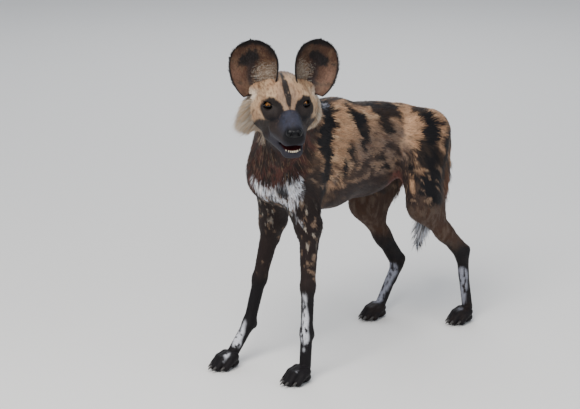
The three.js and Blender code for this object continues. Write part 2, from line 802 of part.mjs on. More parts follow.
// The ruff: rows of locks behind each cheek, the rear row the longest
function ruffLocks() {
  const list = [];
  for (const s of Object.values(SIDES))
    for (const [row, count] of [7, 5].entries())
      for (let n = 0; n < count; n++) {
        const share = (n + 0.5 * row) / 6;
        const height = 14 - 104 * share;
        const origin = inHead(30 * s, 60 - 20 * row - 8 * share, height);
        const root = surfaceFrom(origin, inHead(s, 0.2 - 0.2 * row, 0).sub(inHead(0, 0, 0)));
        const lie = inHead(0.3 * s, 0.5, -0.9 - 0.3 * share).sub(inHead(0, 0, 0));
        const swell = 0.8 + 0.35 * Math.sin(Math.PI * share) + 0.1 * varied(n, row);
        const shape = { lift: 0.6 + 0.08 * varied(row, n), width: 21, drop: 0.25 };
        list.push(lock(root, lie, RUFF_LENGTH * (1 - 0.25 * row) * swell, shape));
      }
  return list;
}

// The bib: rows of locks round the throat that hang towards the chest
function bibLocks() {
  const list = [];
  const down = neckRoot.clone().sub(neckTop).normalize();
  const front = at(0.25, -1, -0.3);
  front.addScaledVector(down, -front.dot(down)).normalize();
  for (let row = 0; row < 4; row++) {
    const count = 6 - (row % 2);
    for (let n = 0; n < count; n++) {
      const share = (n + 0.5) / count - 0.5;
      const angle = share * 2.7 + 0.1 * varied(row, n);
      const way = front.clone().applyAxisAngle(down, angle);
      const origin = neckTop.clone().lerp(neckRoot, 0.2 + 0.16 * row);
      const root = surfaceFrom(origin, way);
      const lie = down.clone().add(at(0, 0, -0.5));
      const length = BIB_LENGTH * (0.95 + 0.15 * varied(n, row));
      list.push(lock(root, lie, length, { lift: 0.3, width: 27, thick: 6, drop: 0.1 }));
    }
  }
  return list;
}

// The fringe behind each thigh
function fringeLocks(side) {
  const s = SIDES[side];
  const j = JOINTS[side];
  const list = [];
  for (let n = 0; n < 5; n++) {
    const height = j.knee.z + 10 + 16 * n;
    const root = surfaceFrom(at((62 + 3 * n) * s, j.knee.y + 40 + 5 * n, height), at(0.12 * s, 1, -0.1));
    const length = FRINGE_LENGTH * (0.9 + 0.2 * varied(n, s));
    list.push(lock(root, at(0.1 * s, 0.2, -1), length, { lift: 0.3, width: 15, thick: 4, drop: 0.1, sink: 7 }));
  }
  return list;
}

// The tail hangs from the rump and swings in behind the thighs
function buildTail(torso) {
  const curve = new THREE.CatmullRomCurve3([
    at(0, 600, 545),
    at(0, 650, 520),
    at(2, 674, 460),
    at(0, 684, 400),
    at(-14, 680, 330),
    at(-32, 664, 262),
    at(-45, 650, 205),
  ]);
  const thickness = (t) => (t < 0.5 ? 18 + 4 * t : 20 * (1 - (t - 0.5) ** 2 * 3));
  const made = solid(tube(curve, thickness, 9, 8));
  const locks = [];
  for (let row = 0; row < 5; row++) {
    const share = 0.38 + 0.145 * row;
    const centre = curve.getPointAt(share);
    const along = curve.getTangentAt(share);
    const across = at(1, 0, 0).addScaledVector(along, -along.x).normalize();
    const count = 4;
    for (let n = 0; n < count; n++) {
      const facing = across.clone().applyAxisAngle(along, ((n + 0.5 * (row % 2)) / count) * 2 * Math.PI);
      const point = centre.clone().addScaledVector(facing, thickness(share));
      const length = BRUSH_LENGTH * (0.9 + 0.14 * varied(row, n)) * (row < 2 ? 0.8 : 1);
      locks.push(lock({ point, facing }, along, length, { lift: 0.16, width: 25, thick: 6, drop: 0.05, sink: 6 }));
    }
  }
  return withLocks(seated(made, torso, at(0, 0.75, -0.65)), locks);
}

parts.set("torso", buildTorso());
buildLegs();
parts.set("tail", buildTail(parts.get("torso")));
const bareHead = cutPart({
  low: at(-10, -240, 560),
  high: at(320, 120, 840),
  cell: at(13, 13, 13),
  keep: [CUTS.head],
});
const bareNeck = cutPart({
  low: at(-120, -120, 440),
  high: at(220, 220, 800),
  cell: at(25, 25, 25),
  keep: [CUTS.neck],
  drop: [CUTS.head],
});
parts.set("neck", withLocks(bareNeck, bibLocks(), [parts.get("torso"), bareHead]));
buildHead(bareHead);

// The scene graph, set down so that the middle of its box is over the origin and its feet are at zero

const FINISHES = {
  coat: { color: 0x5a4632, roughness: 0.9 },
  dark: { color: 0x2a2320, roughness: 0.9 },
  face: { color: 0xa08865, roughness: 0.9 },
  ear: { color: 0x3b2d28, roughness: 0.85 },
  nose: { color: 0x101014, roughness: 0.35 },
  eye: { color: 0xb5651d, roughness: 0.1 },
};
const finishOf = {
  torso: "coat",
  neck: "dark",
  head: "face",
  lower_jaw: "dark",
  nose: "nose",
  tail: "dark",
  eye_left: "eye",
  eye_right: "eye",
  ear_left: "ear",
  ear_right: "ear",
};

const dog = new THREE.Group();
for (const [name, made] of parts) {
  const { vertProperties, triVerts, numProp } = made.getMesh();
  const positions = new Float32Array((vertProperties.length / numProp) * 3);
  for (let i = 0; i < positions.length / 3; i++)
    positions.set(vertProperties.subarray(i * numProp, i * numProp + 3), i * 3);
  const geometry = new THREE.BufferGeometry()
    .setAttribute("position", new THREE.BufferAttribute(positions, 3))
    .setIndex(new THREE.BufferAttribute(triVerts, 1));
  geometry.computeVertexNormals();
  const finish = new THREE.MeshStandardMaterial({ ...FINISHES[finishOf[name] ?? "dark"], metalness: 0 });
  const mesh = new THREE.Mesh(geometry, finish);
  mesh.name = name;
  dog.add(mesh);
}
const box = new THREE.Box3().setFromObject(dog);
dog.position.set(-(box.min.x + box.max.x) / 2, -(box.min.y + box.max.y) / 2, -box.min.z);

export default dog;
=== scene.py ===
import itertools
import math

import bpy
import numpy as np
from mathutils import Matrix, Vector


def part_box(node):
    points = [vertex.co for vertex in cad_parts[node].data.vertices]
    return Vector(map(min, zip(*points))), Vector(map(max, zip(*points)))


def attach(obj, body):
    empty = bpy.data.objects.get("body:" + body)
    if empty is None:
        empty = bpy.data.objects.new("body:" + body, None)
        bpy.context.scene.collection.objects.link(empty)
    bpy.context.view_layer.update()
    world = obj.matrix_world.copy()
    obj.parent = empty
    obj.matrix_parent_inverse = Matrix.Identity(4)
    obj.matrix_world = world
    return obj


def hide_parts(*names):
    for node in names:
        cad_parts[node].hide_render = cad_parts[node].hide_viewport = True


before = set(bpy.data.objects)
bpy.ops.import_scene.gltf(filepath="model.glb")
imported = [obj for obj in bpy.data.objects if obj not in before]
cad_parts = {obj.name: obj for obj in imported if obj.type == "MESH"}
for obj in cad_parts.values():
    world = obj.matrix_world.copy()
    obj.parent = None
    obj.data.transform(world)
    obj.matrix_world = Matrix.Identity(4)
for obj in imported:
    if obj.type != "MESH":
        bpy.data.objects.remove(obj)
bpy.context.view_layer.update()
SHARE = 1.0
WIDER = 1.0
dice = np.random.default_rng(1968)

SIDES = {"left": 1, "right": -1}
SIGNS = (1, -1)


def vec(x, y, z):
    return np.array([x, y, z], float)


JOINTS = {
    "left": dict(
        shoulder=vec(62, 44, 520),
        elbow=vec(84, 86, 372),
        wrist=vec(110, 50, 118),
        forepaw=vec(118, 16, 0),
        hip=vec(58, 560, 522),
        knee=vec(98, 500, 352),
        hock=vec(106, 648, 184),
        hindpaw=vec(114, 648, 0),
    ),
    "right": dict(
        shoulder=vec(-52, 74, 506),
        elbow=vec(-70, 114, 350),
        wrist=vec(-90, 50, 98),
        forepaw=vec(-86, -32, 0),
        hip=vec(-58, 548, 520),
        knee=vec(-94, 488, 322),
        hock=vec(-84, 606, 128),
        hindpaw=vec(-76, 514, 0),
    ),
}
LEG_LINES = {"fore": ("forepaw", "wrist", "elbow", "shoulder"), "hind": ("hindpaw", "hock", "knee", "hip")}
# each paw's width, and the radii of its pastern and knuckles
PAWS = {"fore": (1.0, 16.5, 15.0), "hind": (0.92, 15.5, 14.0)}
TOES = (-1.5, -0.5, 0.5, 1.5)
TOE_SPREAD = 12.5
EYE_RADIUS = 11.0
SOCKET_RADIUS = 11.9
BROW_RADIUS = 13.2
SLIT = (11.6, 9.4)
LID_HALVES = (6.9, 7.6)
GAZE_DOWN = 3
EAR_HEIGHT = 124.0
EAR_WIDTH = 116.0
EAR_LEAN = {"left": 18, "right": 9}
SOLE_GAP = 0.2
COAT_START = 0.5


# Frames


def shift(x, y, z):
    made = np.eye(4)
    made[:3, 3] = (x, y, z)
    return made


def turn(axis, degrees):
    c, s = math.cos(math.radians(degrees)), math.sin(math.radians(degrees))
    made = np.eye(4)
    i, j = {"x": (1, 2), "y": (2, 0), "z": (0, 1)}[axis]
    made[i, i], made[i, j], made[j, i], made[j, j] = c, -s, s, c
    return made


HEAD = shift(150, -62, 724) @ turn("z", 54) @ turn("x", 3)
HEAD_BACK = np.linalg.inv(HEAD)


def put(points, place):
    return points @ place[:3, :3].T + place[:3, 3]


def in_head(x, y, z):
    return put(vec(x, y, z), HEAD)


def from_head(p):
    """Places in the head's own frame, whose nose points to -Y."""
    return put(p, HEAD_BACK)


def eye_place(s):
    return HEAD @ shift(39 * s, 6, 0) @ turn("z", 28 * s) @ turn("y", -12 * s)


def ear_place(side):
    s = SIDES[side]
    return HEAD @ shift(56 * s, 66, 14) @ turn("y", EAR_LEAN[side] * s) @ turn("z", 15 * s)


def eye_home():
    """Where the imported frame's origin lies, from the middles of the two eyes."""
    middle = np.zeros(3)
    for side, s in SIDES.items():
        low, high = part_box("eye_" + side)
        middle += (np.array(low) + np.array(high)) / 2 - eye_place(s)[:3, 3] / 1000
    return middle / 2


HOME = eye_home()
HOME[2] = -0.00015


def home(points):
    return points / 1000 + HOME


# Small helpers


def unit(v):
    return v / np.maximum(np.linalg.norm(v, axis=-1, keepdims=True), 1e-9)


def smooth(a, b, x):
    """A smooth step from 0 at a to 1 at b."""
    t = np.clip((x - a) / (b - a), 0, 1)
    return t * t * (3 - 2 * t)


def band(x, a, b, c, d):
    """A smooth rise from a to b, and a fall from c to d."""
    return smooth(a, b, x) * smooth(d, c, x)


CORNERS = list(itertools.product((0, 1), repeat=3))
LATTICE_SIZE = 32
LATTICE = np.random.default_rng(11).random((LATTICE_SIZE,) * 3)


def noise(p, size, seed=0):
    """Smooth noise from -1 to 1, in lumps of the given size."""
    q = p / size + seed * 7.31
    cell = np.floor(q).astype(np.int64)
    f = q - cell
    f = f * f * (3 - 2 * f)
    total = np.zeros(len(p))
    for corner in CORNERS:
        weight = np.where(corner, f, 1 - f)
        at = (cell + corner) % LATTICE_SIZE
        total += weight[:, 0] * weight[:, 1] * weight[:, 2] * LATTICE[tuple(at.T)]
    return total * 2 - 1


def noises(p, size, seeds, scale):
    """Three noises as the parts of one shift."""
    return np.stack([noise(p, size, seed) for seed in seeds], -1) * scale


def painted(colour, *layers):
    """A value for each point, with every layer laid over the last by its share there."""
    for new, share in layers:
        colour = colour + (new - colour) * np.clip(share, 0, 1)[:, None]
    return colour


# Fields of the flesh, as in the solids: negative inside


def rod(a, b, ra, rb, wide=1.0):
    a = np.asarray(a, float)
    d = np.asarray(b, float) - a
    square = max(d @ d, 1e-9)

    def field(p):
        q = p - a
        t = np.clip(q @ d / square, 0, 1)
        q = q - t[:, None] * d
        reach = np.sqrt((q[:, 0] / wide) ** 2 + q[:, 1] ** 2 + q[:, 2] ** 2)
        return (reach - ra - t * (rb - ra)) * min(1.0, wide)

    return field


def egg(c, rx, ry, rz):
    c = np.asarray(c, float)
    r = vec(rx, ry, rz)

    def field(p):
        q = (p - c) / r
        near = np.linalg.norm(q, axis=1)
        slope = np.linalg.norm(q / r, axis=1)
        return np.where(slope < 1e-9, -r.min(), near * (near - 1) / np.maximum(slope, 1e-9))

    return field


def join(total, value, width):
    h = np.maximum(width - np.abs(total - value), 0) / width
    return np.minimum(total, value) - h * h * width / 4


def melt(parts):
    def field(p):
        total = np.full(len(p), 1e6)
        for part, width in parts:
            total = join(total, part(p), width)
        return total

    return field


def cut_away(field, other, width):
    return lambda p: -join(-field(p), other(p), width)


def placed(field, place):
    back = np.linalg.inv(place)
    return lambda p: field(put(p, back))


def limb_flesh(side):
    j = JOINTS[side]
    s = SIDES[side]
    elbow, wrist, knee, hock = j["elbow"], j["wrist"], j["knee"], j["hock"]
    mid_arm = wrist + 0.45 * (elbow - wrist)
    upper_shin = hock + 0.45 * (knee - hock)
    mid_shin = hock + 0.5 * (knee - hock)
    shin = knee + 0.2 * (hock - knee)
    near_trunk = vec(s * 48, j["shoulder"][1] + 56, j["shoulder"][2])
    return [
        (rod(j["shoulder"], (30 * s, 140, 622), 38, 30), 40),
        (rod(near_trunk, elbow + (-8 * s, 6, 18), 50, 31), 36),
        (rod(j["shoulder"] + (-10 * s, 0, -10), elbow + (0, -10, 6), 38, 27), 30),
        (rod(elbow, mid_arm, 29, 20, 0.9), 22),
        (rod(elbow + (0, 18, 12), elbow + (0, 6, -40), 15, 14), 16),
        (rod(mid_arm, wrist, 19, 17, 0.92), 14),
        (rod(j["hip"], knee, 68, 42, 0.8), 40),
        (rod((56 * s, 500, 505), knee + (-4 * s, -4, 20), 46, 36, 0.8), 36),
        (rod((46 * s, 612, 478), shin + (-4 * s, 22, 10), 42, 26, 0.8), 34),
        (rod(knee, upper_shin, 38, 23, 0.8), 26),
        (rod(mid_shin, hock, 22, 17, 0.85), 18),
        (rod(mid_shin + (0, 14, 0), hock + (0, 16, 14), 12, 12), 14),
    ]


def toe_of(n, paw, width):
    middle = abs(n) < 1
    across = n * TOE_SPREAD * width
    forward = -14 if middle else 0
    root = paw + (across * 0.9, forward * 0.4 + 8, 30)
    bend = paw + (across * 1.12, forward - 10, 27 if middle else 24)
    tip = paw + (across * 1.18, forward - 27, 11)
    return root, bend, tip


def paw_flesh(side, end):
    paw, joint = (JOINTS[side][name] for name in LEG_LINES[end][:2])
    width, pastern, knuckle = PAWS[end]
    parts = [(rod(joint, paw + (0, 20, 36), pastern, pastern * 0.98, 0.95), 14)]
    if end == "fore":
        parts.append((egg(joint + (0, 14, -8), 10, 9, 12), 10))
    else:
        parts.append((rod(joint + (0, 14, 12), joint + 0.3 * (paw - joint) + (0, 8, 0), 12, 10), 12))
    parts.append((egg(paw + (0, 8, 12), 25 * width, 24, 14), 12))
    for n in TOES:
        root, bend, tip = toe_of(n, paw, width)
        parts.append((rod(root, bend, knuckle * 0.83, knuckle * 0.74), 5))
        parts.append((rod(bend, tip, knuckle * 0.74, knuckle * 0.68), 2.5))
    return parts


TRUNK = [
    (egg((0, 190, 528), 84, 190, 132), 1),
    (rod((4, 36, 492), (0, 240, 446), 52, 62), 50),
    (egg((0, 370, 500), 76, 170, 118), 40),
    (rod((0, 260, 588), (0, 505, 552), 56, 54), 40),
    (egg((0, 540, 504), 66, 84, 74), 40),
    (rod((0, 110, 622), (0, 270, 606), 40, 40), 40),
]
NECK_ROOT = vec(8, 86, 566)
NECK_TOP = in_head(0, 92, -22)
NECK_DOWN = unit(NECK_ROOT - NECK_TOP)
NECK = [
    (rod(NECK_ROOT, NECK_TOP, 76, 60), 50),
    (rod((0, 130, 616), in_head(0, 84, 4), 44, 44), 40),
    (rod((12, 28, 520), in_head(0, 40, -72), 48, 40), 40),
]
SKULL = [
    (egg((0, 52, 8), 58, 62, 48), 1),
    (egg((0, 12, 14), 44, 34, 26), 24),
    (rod((0, -4, -6), (0, -96, -31), 21, 15), 22),
    (rod((0, -8, -36), (0, -78, -48), 36, 25), 20),
    (egg((0, -97, -42), 20, 12, 15), 10),
]
JAW = [(rod((0, 46, -74), (0, -30, -88), 36, 20), 8), (egg((0, -78, -93), 21, 17, 13), 14)]
for s in SIGNS:
    SKULL += [
        (egg((45 * s, 40, -28), 27, 50, 45), 26),
        (egg((58 * s, 72, 9), 24, 22, 22), 22),
        (egg((64 * s, 60, -34), 24, 28, 36), 24),
        (rod((40 * s, -10, -20), (62 * s, 40, -12), 14, 16), 20),
        (rod((24 * s, -6, 17), (45 * s, 4, 17), 12, 9), 14),
        (rod((27 * s, -22, -55), (13 * s, -92, -60), 18, 15), 14),
    ]
    JAW.append((rod((34 * s, 20, -76), (11 * s, -78, -92), 18, 12), 14))
MOUTH = melt([(egg((0, -70, -78), 27, 52, 4.2), 1), (egg((0, -88, -80), 19, 30, 6.0), 6)])
HEAD_FLESH = placed(cut_away(melt(SKULL + JAW), MOUTH, 4), HEAD)


def bent(knots, count):
    """Points along a smooth curve through the knots."""
    knots = np.asarray(knots, float)
    ends = np.vstack([2 * knots[0] - knots[1], knots, 2 * knots[-1] - knots[-2]])
    out = []
    for t in np.linspace(0, len(knots) - 1, count):
        i = min(int(t), len(knots) - 2)
        u = t - i
        a, b, c, d = ends[i : i + 4]
        square, cube = 2 * a - 5 * b + 4 * c - d, 3 * b - a - 3 * c + d
        out.append(0.5 * (2 * b + (c - a) * u + square * u**2 + cube * u**3))
    return np.array(out)


TAIL_KNOTS = [(0, 600, 545), (0, 650, 520), (2, 674, 460), (0, 684, 400)]
TAIL_KNOTS += [(-14, 680, 330), (-32, 664, 262), (-45, 650, 205)]
TAIL = bent(TAIL_KNOTS, 15)
TAIL_BENDS = [(n, n / (len(TAIL) - 1), (n + 1) / (len(TAIL) - 1)) for n in range(len(TAIL) - 1)]


def tail_radius(t):
    return 18 + 4 * t if t < 0.5 else 20 * (1 - 3 * (t - 0.5) ** 2)


FLESH = TRUNK + NECK + [(HEAD_FLESH, 26)]
for side in SIDES:
    FLESH += limb_flesh(side) + paw_flesh(side, "fore") + paw_flesh(side, "hind")
for s in SIGNS:
    FLESH.append((egg(eye_place(s)[:3, 3], BROW_RADIUS, BROW_RADIUS, BROW_RADIUS), 7))
for n, start, stop in TAIL_BENDS:
    FLESH.append((rod(TAIL[n], TAIL[n + 1], tail_radius(start), tail_radius(stop)), 9))

BLOCK = 48.0
REACH = BLOCK * 0.87 * 1.2 + 70.0


def flesh(p):
    """The whole body's field, taking for each block of space only what lies near it."""
    cell = np.floor(p / BLOCK).astype(np.int64)
    code = cell @ np.array([1, 256, 65536])
    order = np.argsort(code, kind="stable")
    starts = np.append(0, np.flatnonzero(np.diff(code[order])) + 1)
    middles = (cell[order[starts]] + 0.5) * BLOCK
    near = np.array([part(middles) for part, width in FLESH]) < REACH
    out = np.empty(len(p))
    for n, group in enumerate(np.split(order, starts[1:])):
        q = p[group]
        total = np.full(len(q), 1e3)
        for m in np.flatnonzero(near[:, n]):
            part, width = FLESH[m]
            total = join(total, part(q), width)
        out[group] = total
    return out


def head_share(p):
    """1 on the head and 0 behind it, across the plane that parts head and neck."""
    h = from_head(p)
    beyond = (h[:, 1] - 78) * -0.922 + (h[:, 2] + 40) * 0.387
    return smooth(-16, 12, beyond) * (p[:, 2] > 560)


def neck_share(p):
    beyond = (p[:, 0] - 6) * 0.1 - (p[:, 1] - 62) * 0.742 + (p[:, 2] - 572) * 0.662
    return smooth(-26, 22, beyond) * (p[:, 2] > 430) * (p[:, 1] < 230)


def tail_share(p):
    near = np.full(len(p), 1e3)
    for n, start, stop in TAIL_BENDS[3:]:
        near = np.minimum(near, rod(TAIL[n], TAIL[n + 1], 18, 18)(p))
    return smooth(10, 4, near)


def head_or_body(p, face, body):
    """A measure of the coat, from one table along the head and one up the body."""
    head = head_share(p)
    return head * np.interp(from_head(p)[:, 1], *face) + (1 - head) * body


def depth(p):
    """How far the skin lies inside the flesh, to leave room for the coat."""
    body = np.interp(p[:, 2], [0, 40, 130, 320, 430, 500], [0.9, 1.1, 1.6, 2.2, 3.0, 3.8])
    return head_or_body(p, ([-70, -10, 30, 70], [0.5, 1.0, 1.8, 3.0]), body)


def closed_skin(p):
    return np.maximum(flesh(p) + depth(p), SOLE_GAP - p[:, 2])


def skin_field(p):
    """The skin with a socket for each eye."""
    value = closed_skin(p)
    for s in SIGNS:
        q = put(p, np.linalg.inv(eye_place(s)))
        ball = np.linalg.norm(q, axis=1) - SOCKET_RADIUS
        slit = (np.hypot(q[:, 0] / SLIT[0], q[:, 2] / SLIT[1]) - 1) * SLIT[1]
        value = np.maximum(value, -np.minimum(ball, np.maximum(slit, q[:, 1] + 2)))
    return value


# Surfaces of fields


def marks(low, high, cell, spans=()):
    """A grid's marks along one axis, closer together within the given spans."""
    at = [low]
    while at[-1] < high:
        fine = [size for a, b, size in spans if a <= at[-1] < b]
        at.append(at[-1] + min([cell, *fine]))
    return np.array(at)


def at_corner(array, corner):
    """The array's values at one corner of each cell."""
    return array[tuple(slice(c, m - 1 + c) for c, m in zip(corner, array.shape))]


def netted(field, axes, block=4):
    """The zero surface of a field, with one point in each cell of a grid that it crosses."""
    axes = [np.append(a, a[-1] + (a[-1] - a[-2]) * np.arange(1, 1 + (1 - len(a)) % block)) for a in axes]
    shape = [len(a) for a in axes]
    # only blocks of cells that the surface may cross are worked out
    coarse = [a[::block] for a in axes]
    grid = np.stack(np.meshgrid(*coarse, indexing="ij"), -1)
    value = np.abs(field(grid.reshape(-1, 3)).reshape(grid.shape[:3]))
    wide = np.meshgrid(*[np.diff(a) for a in coarse], indexing="ij")
    diagonal = np.sqrt(wide[0] ** 2 + wide[1] ** 2 + wide[2] ** 2)
    least = np.min([at_corner(value, corner) for corner in CORNERS], 0)
    busy = np.argwhere(least < 0.75 * diagonal) * block
    known = np.zeros(shape, bool)
    for step in itertools.product(range(block + 1), repeat=3):
        known[tuple((busy + step).T)] = True
    values = np.full(shape, 1e3)
    got = field(np.stack([a[i] for a, i in zip(axes, np.nonzero(known))], -1))
    values[known] = np.where(got == 0, 1e-4, got)
    inside = values < 0
    signs = [at_corner(inside, corner) for corner in CORNERS]
    seen = np.all([at_corner(known, corner) for corner in CORNERS], 0)
    cells = np.argwhere(np.any(signs, 0) & ~np.all(signs, 0) & seen)

    # each cell's point is the middle of where its edges are crossed
    corners = [values[tuple((cells + corner).T)] for corner in CORNERS]
    total = np.zeros((len(cells), 3))
    count = np.zeros(len(cells))
    for p, start in enumerate(CORNERS):
        for k, onward in enumerate((4, 2, 1)):
            if start[k]:
                continue
            q = p + onward
            crosses = (corners[p] < 0) != (corners[q] < 0)
            t = corners[p] / np.where(crosses, corners[p] - corners[q], np.inf)
            total += (start + t[:, None] * np.eye(3)[k]) * crosses[:, None]
            count += crosses
    part = total / count[:, None]
    made = np.stack([a[i] + t * (a[i + 1] - a[i]) for a, i, t in zip(axes, cells.T, part.T)], -1)
    name = np.full(seen.shape, -1, np.int64)
    name[tuple(cells.T)] = np.arange(len(cells))

    # each crossed edge joins the points of the four cells round it
    quads = []
    ways = np.eye(3, dtype=int)
    inner = inside[1:-1, 1:-1, 1:-1]
    for k in range(3):
        beyond = inside[tuple(slice(1 + d, m - 1 + d) for d, m in zip(ways[k], shape))]
        edges = np.argwhere(inner != beyond) + 1
        i, j = ways[(k + 1) % 3], ways[(k + 2) % 3]
        around = [edges - i - j, edges - j, edges, edges - i]
        quad = np.stack([name[tuple(cell.T)] for cell in around], -1)
        good = (quad >= 0).all(1)
        edges, quad = edges[good], quad[good]
        back = ~inside[tuple(edges.T)]
        quad[back] = quad[back][:, ::-1]
        quads.append(quad)
    quad = np.vstack(quads)
    across = np.linalg.norm(made[quad[:, :2]] - made[quad[:, 2:]], axis=2)
    quad = np.where(across[:, :1] <= across[:, 1:], quad, np.roll(quad, -1, 1))
    return made, np.vstack([quad[:, [0, 1, 2]], quad[:, [0, 2, 3]]])


def slope_of(field, p, step=0.6):
    return np.stack([(field(p + d) - field(p - d)) / (2 * step) for d in np.eye(3) * step], -1)


def settled(field, points, rounds=2, most=3.0):
    """The points moved onto the field's zero surface."""
    p = points.copy()
    for _ in range(rounds):
        slope = slope_of(field, p)
        steep = np.maximum((slope**2).sum(1), 0.05)
        move = -(field(p) / steep)[:, None] * slope
        size = np.linalg.norm(move, axis=1, keepdims=True)
        p += move * np.minimum(1, most / np.maximum(size, 1e-9))
    return p


def normals_of(points, faces):
    across = np.cross(points[faces[:, 1]] - points[faces[:, 0]], points[faces[:, 2]] - points[faces[:, 0]])
    out = np.empty_like(points)
    for k in range(3):
        out[:, k] = sum(np.bincount(faces[:, c], across[:, k], len(points)) for c in range(3))
    return unit(out)


# Colours


def shade(r, g, b):
    c = np.array([r, g, b]) / 255
    return np.where(c <= 0.04045, c / 12.92, ((c + 0.055) / 1.055) ** 2.4)


TAN = shade(166, 130, 100)
PALE_TAN = shade(186, 157, 126)
GREY_TAN = shade(112, 93, 80)
BROWN = shade(84, 58, 44)
RUSSET = shade(104, 66, 46)
DARK = shade(36, 27, 26)
BLACK = shade(13, 12, 15)
# a bluish grey laid over the black muzzle as painted sheen
SLATE_SHEEN = shade(54, 57, 72)
CREAM = shade(208, 196, 180)
WHITE = shade(222, 223, 230)
GREY = shade(142, 144, 156)
GUM = shade(92, 22, 22)
INNER_SKIN = shade(104, 62, 54)
FLECK = shade(122, 100, 82)
THROAT = shade(92, 54, 46)
EAR_BARE = shade(128, 96, 80)


def patch(p, shape, soft=7.0):
    return smooth(soft, -soft, shape(p))


def rods(*rows):
    """Rods, each given by its two ends and its radius at each."""
    return [rod(row[:3], row[3:6], *row[6:]) for row in rows]


# The coat's patches colour what lies within them: first the dark ones, then the pale ones
LEFT_NECK_BLACK = rods(
    (25, 190, 664, 60, 172, 630, 26, 31),
    (60, 172, 630, 88, 134, 594, 31, 30),
    (88, 134, 594, 94, 138, 545, 30, 28),
)
RIGHT_NECK_BLACK = rods((-20, 180, 660, -84, 130, 586, 20, 24))
LEFT_BLACK = rods(
    (94, 138, 545, 92, 134, 480, 28, 29),
    (46, 262, 646, 64, 284, 612, 15, 22),
    (64, 284, 612, 76, 304, 576, 23, 22),
    (76, 300, 576, 80, 282, 545, 13, 10),
    (81, 237, 541, 84, 240, 528, 16, 15),
    (83, 208, 512, 84, 216, 494, 16, 15),
    (34, 376, 620, 44, 446, 604, 26, 27),
    (62, 378, 588, 68, 398, 570, 22, 16),
    (45, 524, 606, 86, 528, 572, 21, 23),
    (86, 528, 572, 104, 511, 531, 23, 22),
    (104, 511, 531, 112, 496, 480, 26, 28),
    (98, 576, 530, 114, 566, 446, 16, 20),
    (118, 524, 470, 134, 506, 376, 32, 34),
    (83, 448, 512, 84, 452, 470, 9, 10),
    (84, 452, 470, 100, 470, 424, 10, 10),
    (108, 478, 436, 122, 486, 390, 12, 18),
)
RIGHT_BLACK = rods(
    (-84, 130, 586, -92, 140, 490, 22, 16),
    (-44, 240, 648, -84, 276, 560, 15, 18),
    (-80, 290, 540, -80, 320, 500, 12, 14),
    (-40, 348, 630, -76, 384, 570, 18, 13),
    (-52, 430, 600, -80, 452, 540, 15, 12),
    (-60, 520, 590, -98, 524, 520, 18, 20),
    (-98, 524, 520, -116, 506, 430, 16, 22),
    (-84, 226, 520, -86, 250, 486, 13, 12),
)
ROUND_BLACK = [egg((77, 366, 500), 12, 13, 11), egg((76, 380, 474), 12, 13, 11)]
ROUND_BLACK.append(egg((-76, 396, 500), 12, 18, 12))
NECK_BLACK = LEFT_NECK_BLACK + RIGHT_NECK_BLACK
TAN_PATCHES = rods(
    (39, 247, 650, 72, 222, 599, 12, 15),
    (72, 222, 599, 84, 200, 548, 15, 13),
    (84, 200, 548, 84, 184, 524, 12, 9),
    (34, 476, 604, 60, 486, 580, 15, 18),
    (60, 486, 580, 84, 464, 540, 16, 17),
    (84, 464, 540, 88, 462, 508, 14, 9),
    (104, 546, 548, 112, 538, 505, 6, 6),
    (98, 116, 560, 100, 112, 530, 9, 8),
    (88, 450, 438, 96, 458, 398, 8, 8),
    (-40, 210, 650, -86, 214, 530, 15, 16),
    (-30, 490, 606, -84, 480, 530, 16, 18),
)
SADDLE = rod((4, 220, 654), (2, 460, 606), 26, 36)
NECK_STREAK = rod((20, 198, 668), (52, 184, 646), 6, 5)
ELBOW_STREAK = rod((84, 180, 496), (84, 186, 468), 8, 7)
WHITE_CHEST = rods(
    (2, -32, 516, 14, -28, 494, 8, 12),
    (14, -28, 498, 26, -2, 470, 13, 14),
    (28, -12, 484, 92, 8, 496, 15, 15),
    (98, 20, 516, 90, 32, 466, 14, 15),
    (44, 10, 456, 76, 26, 446, 12, 12),
    (72, 34, 440, 92, 52, 396, 7, 4),
)
CHEST_SPOT = egg((68, 2, 488), 14, 18, 19)
WHITE_LEGS = [
    *rods((-87, 20, 108, -80, -6, 60, 15, 13), (-78, -34, 46, -74, -60, 28, 5, 4)),
    *rods((113, 30, 210, 124, 20, 116, 19, 21), (134, 12, 56, 136, -6, 40, 7, 5)),
    egg((126, 16, 86), 13, 14, 9),
]
GREY_LEGS = rods((116, 636, 134, 116, 634, 58, 20, 18), (-84, 582, 120, -79, 520, 54, 20, 16))
CHEEK_MARK = rod((74, 20, -18), (80, 30, -40), 2.6, 3.4)


def along_coat(p):
    """Places measured across and along the body's hair, so that noise over them makes streaks."""
    x, y, z = p.T
    return np.stack([x / 6, (0.86 * y - 0.5 * z) / 30, (0.5 * y + 0.86 * z) / 6], -1)


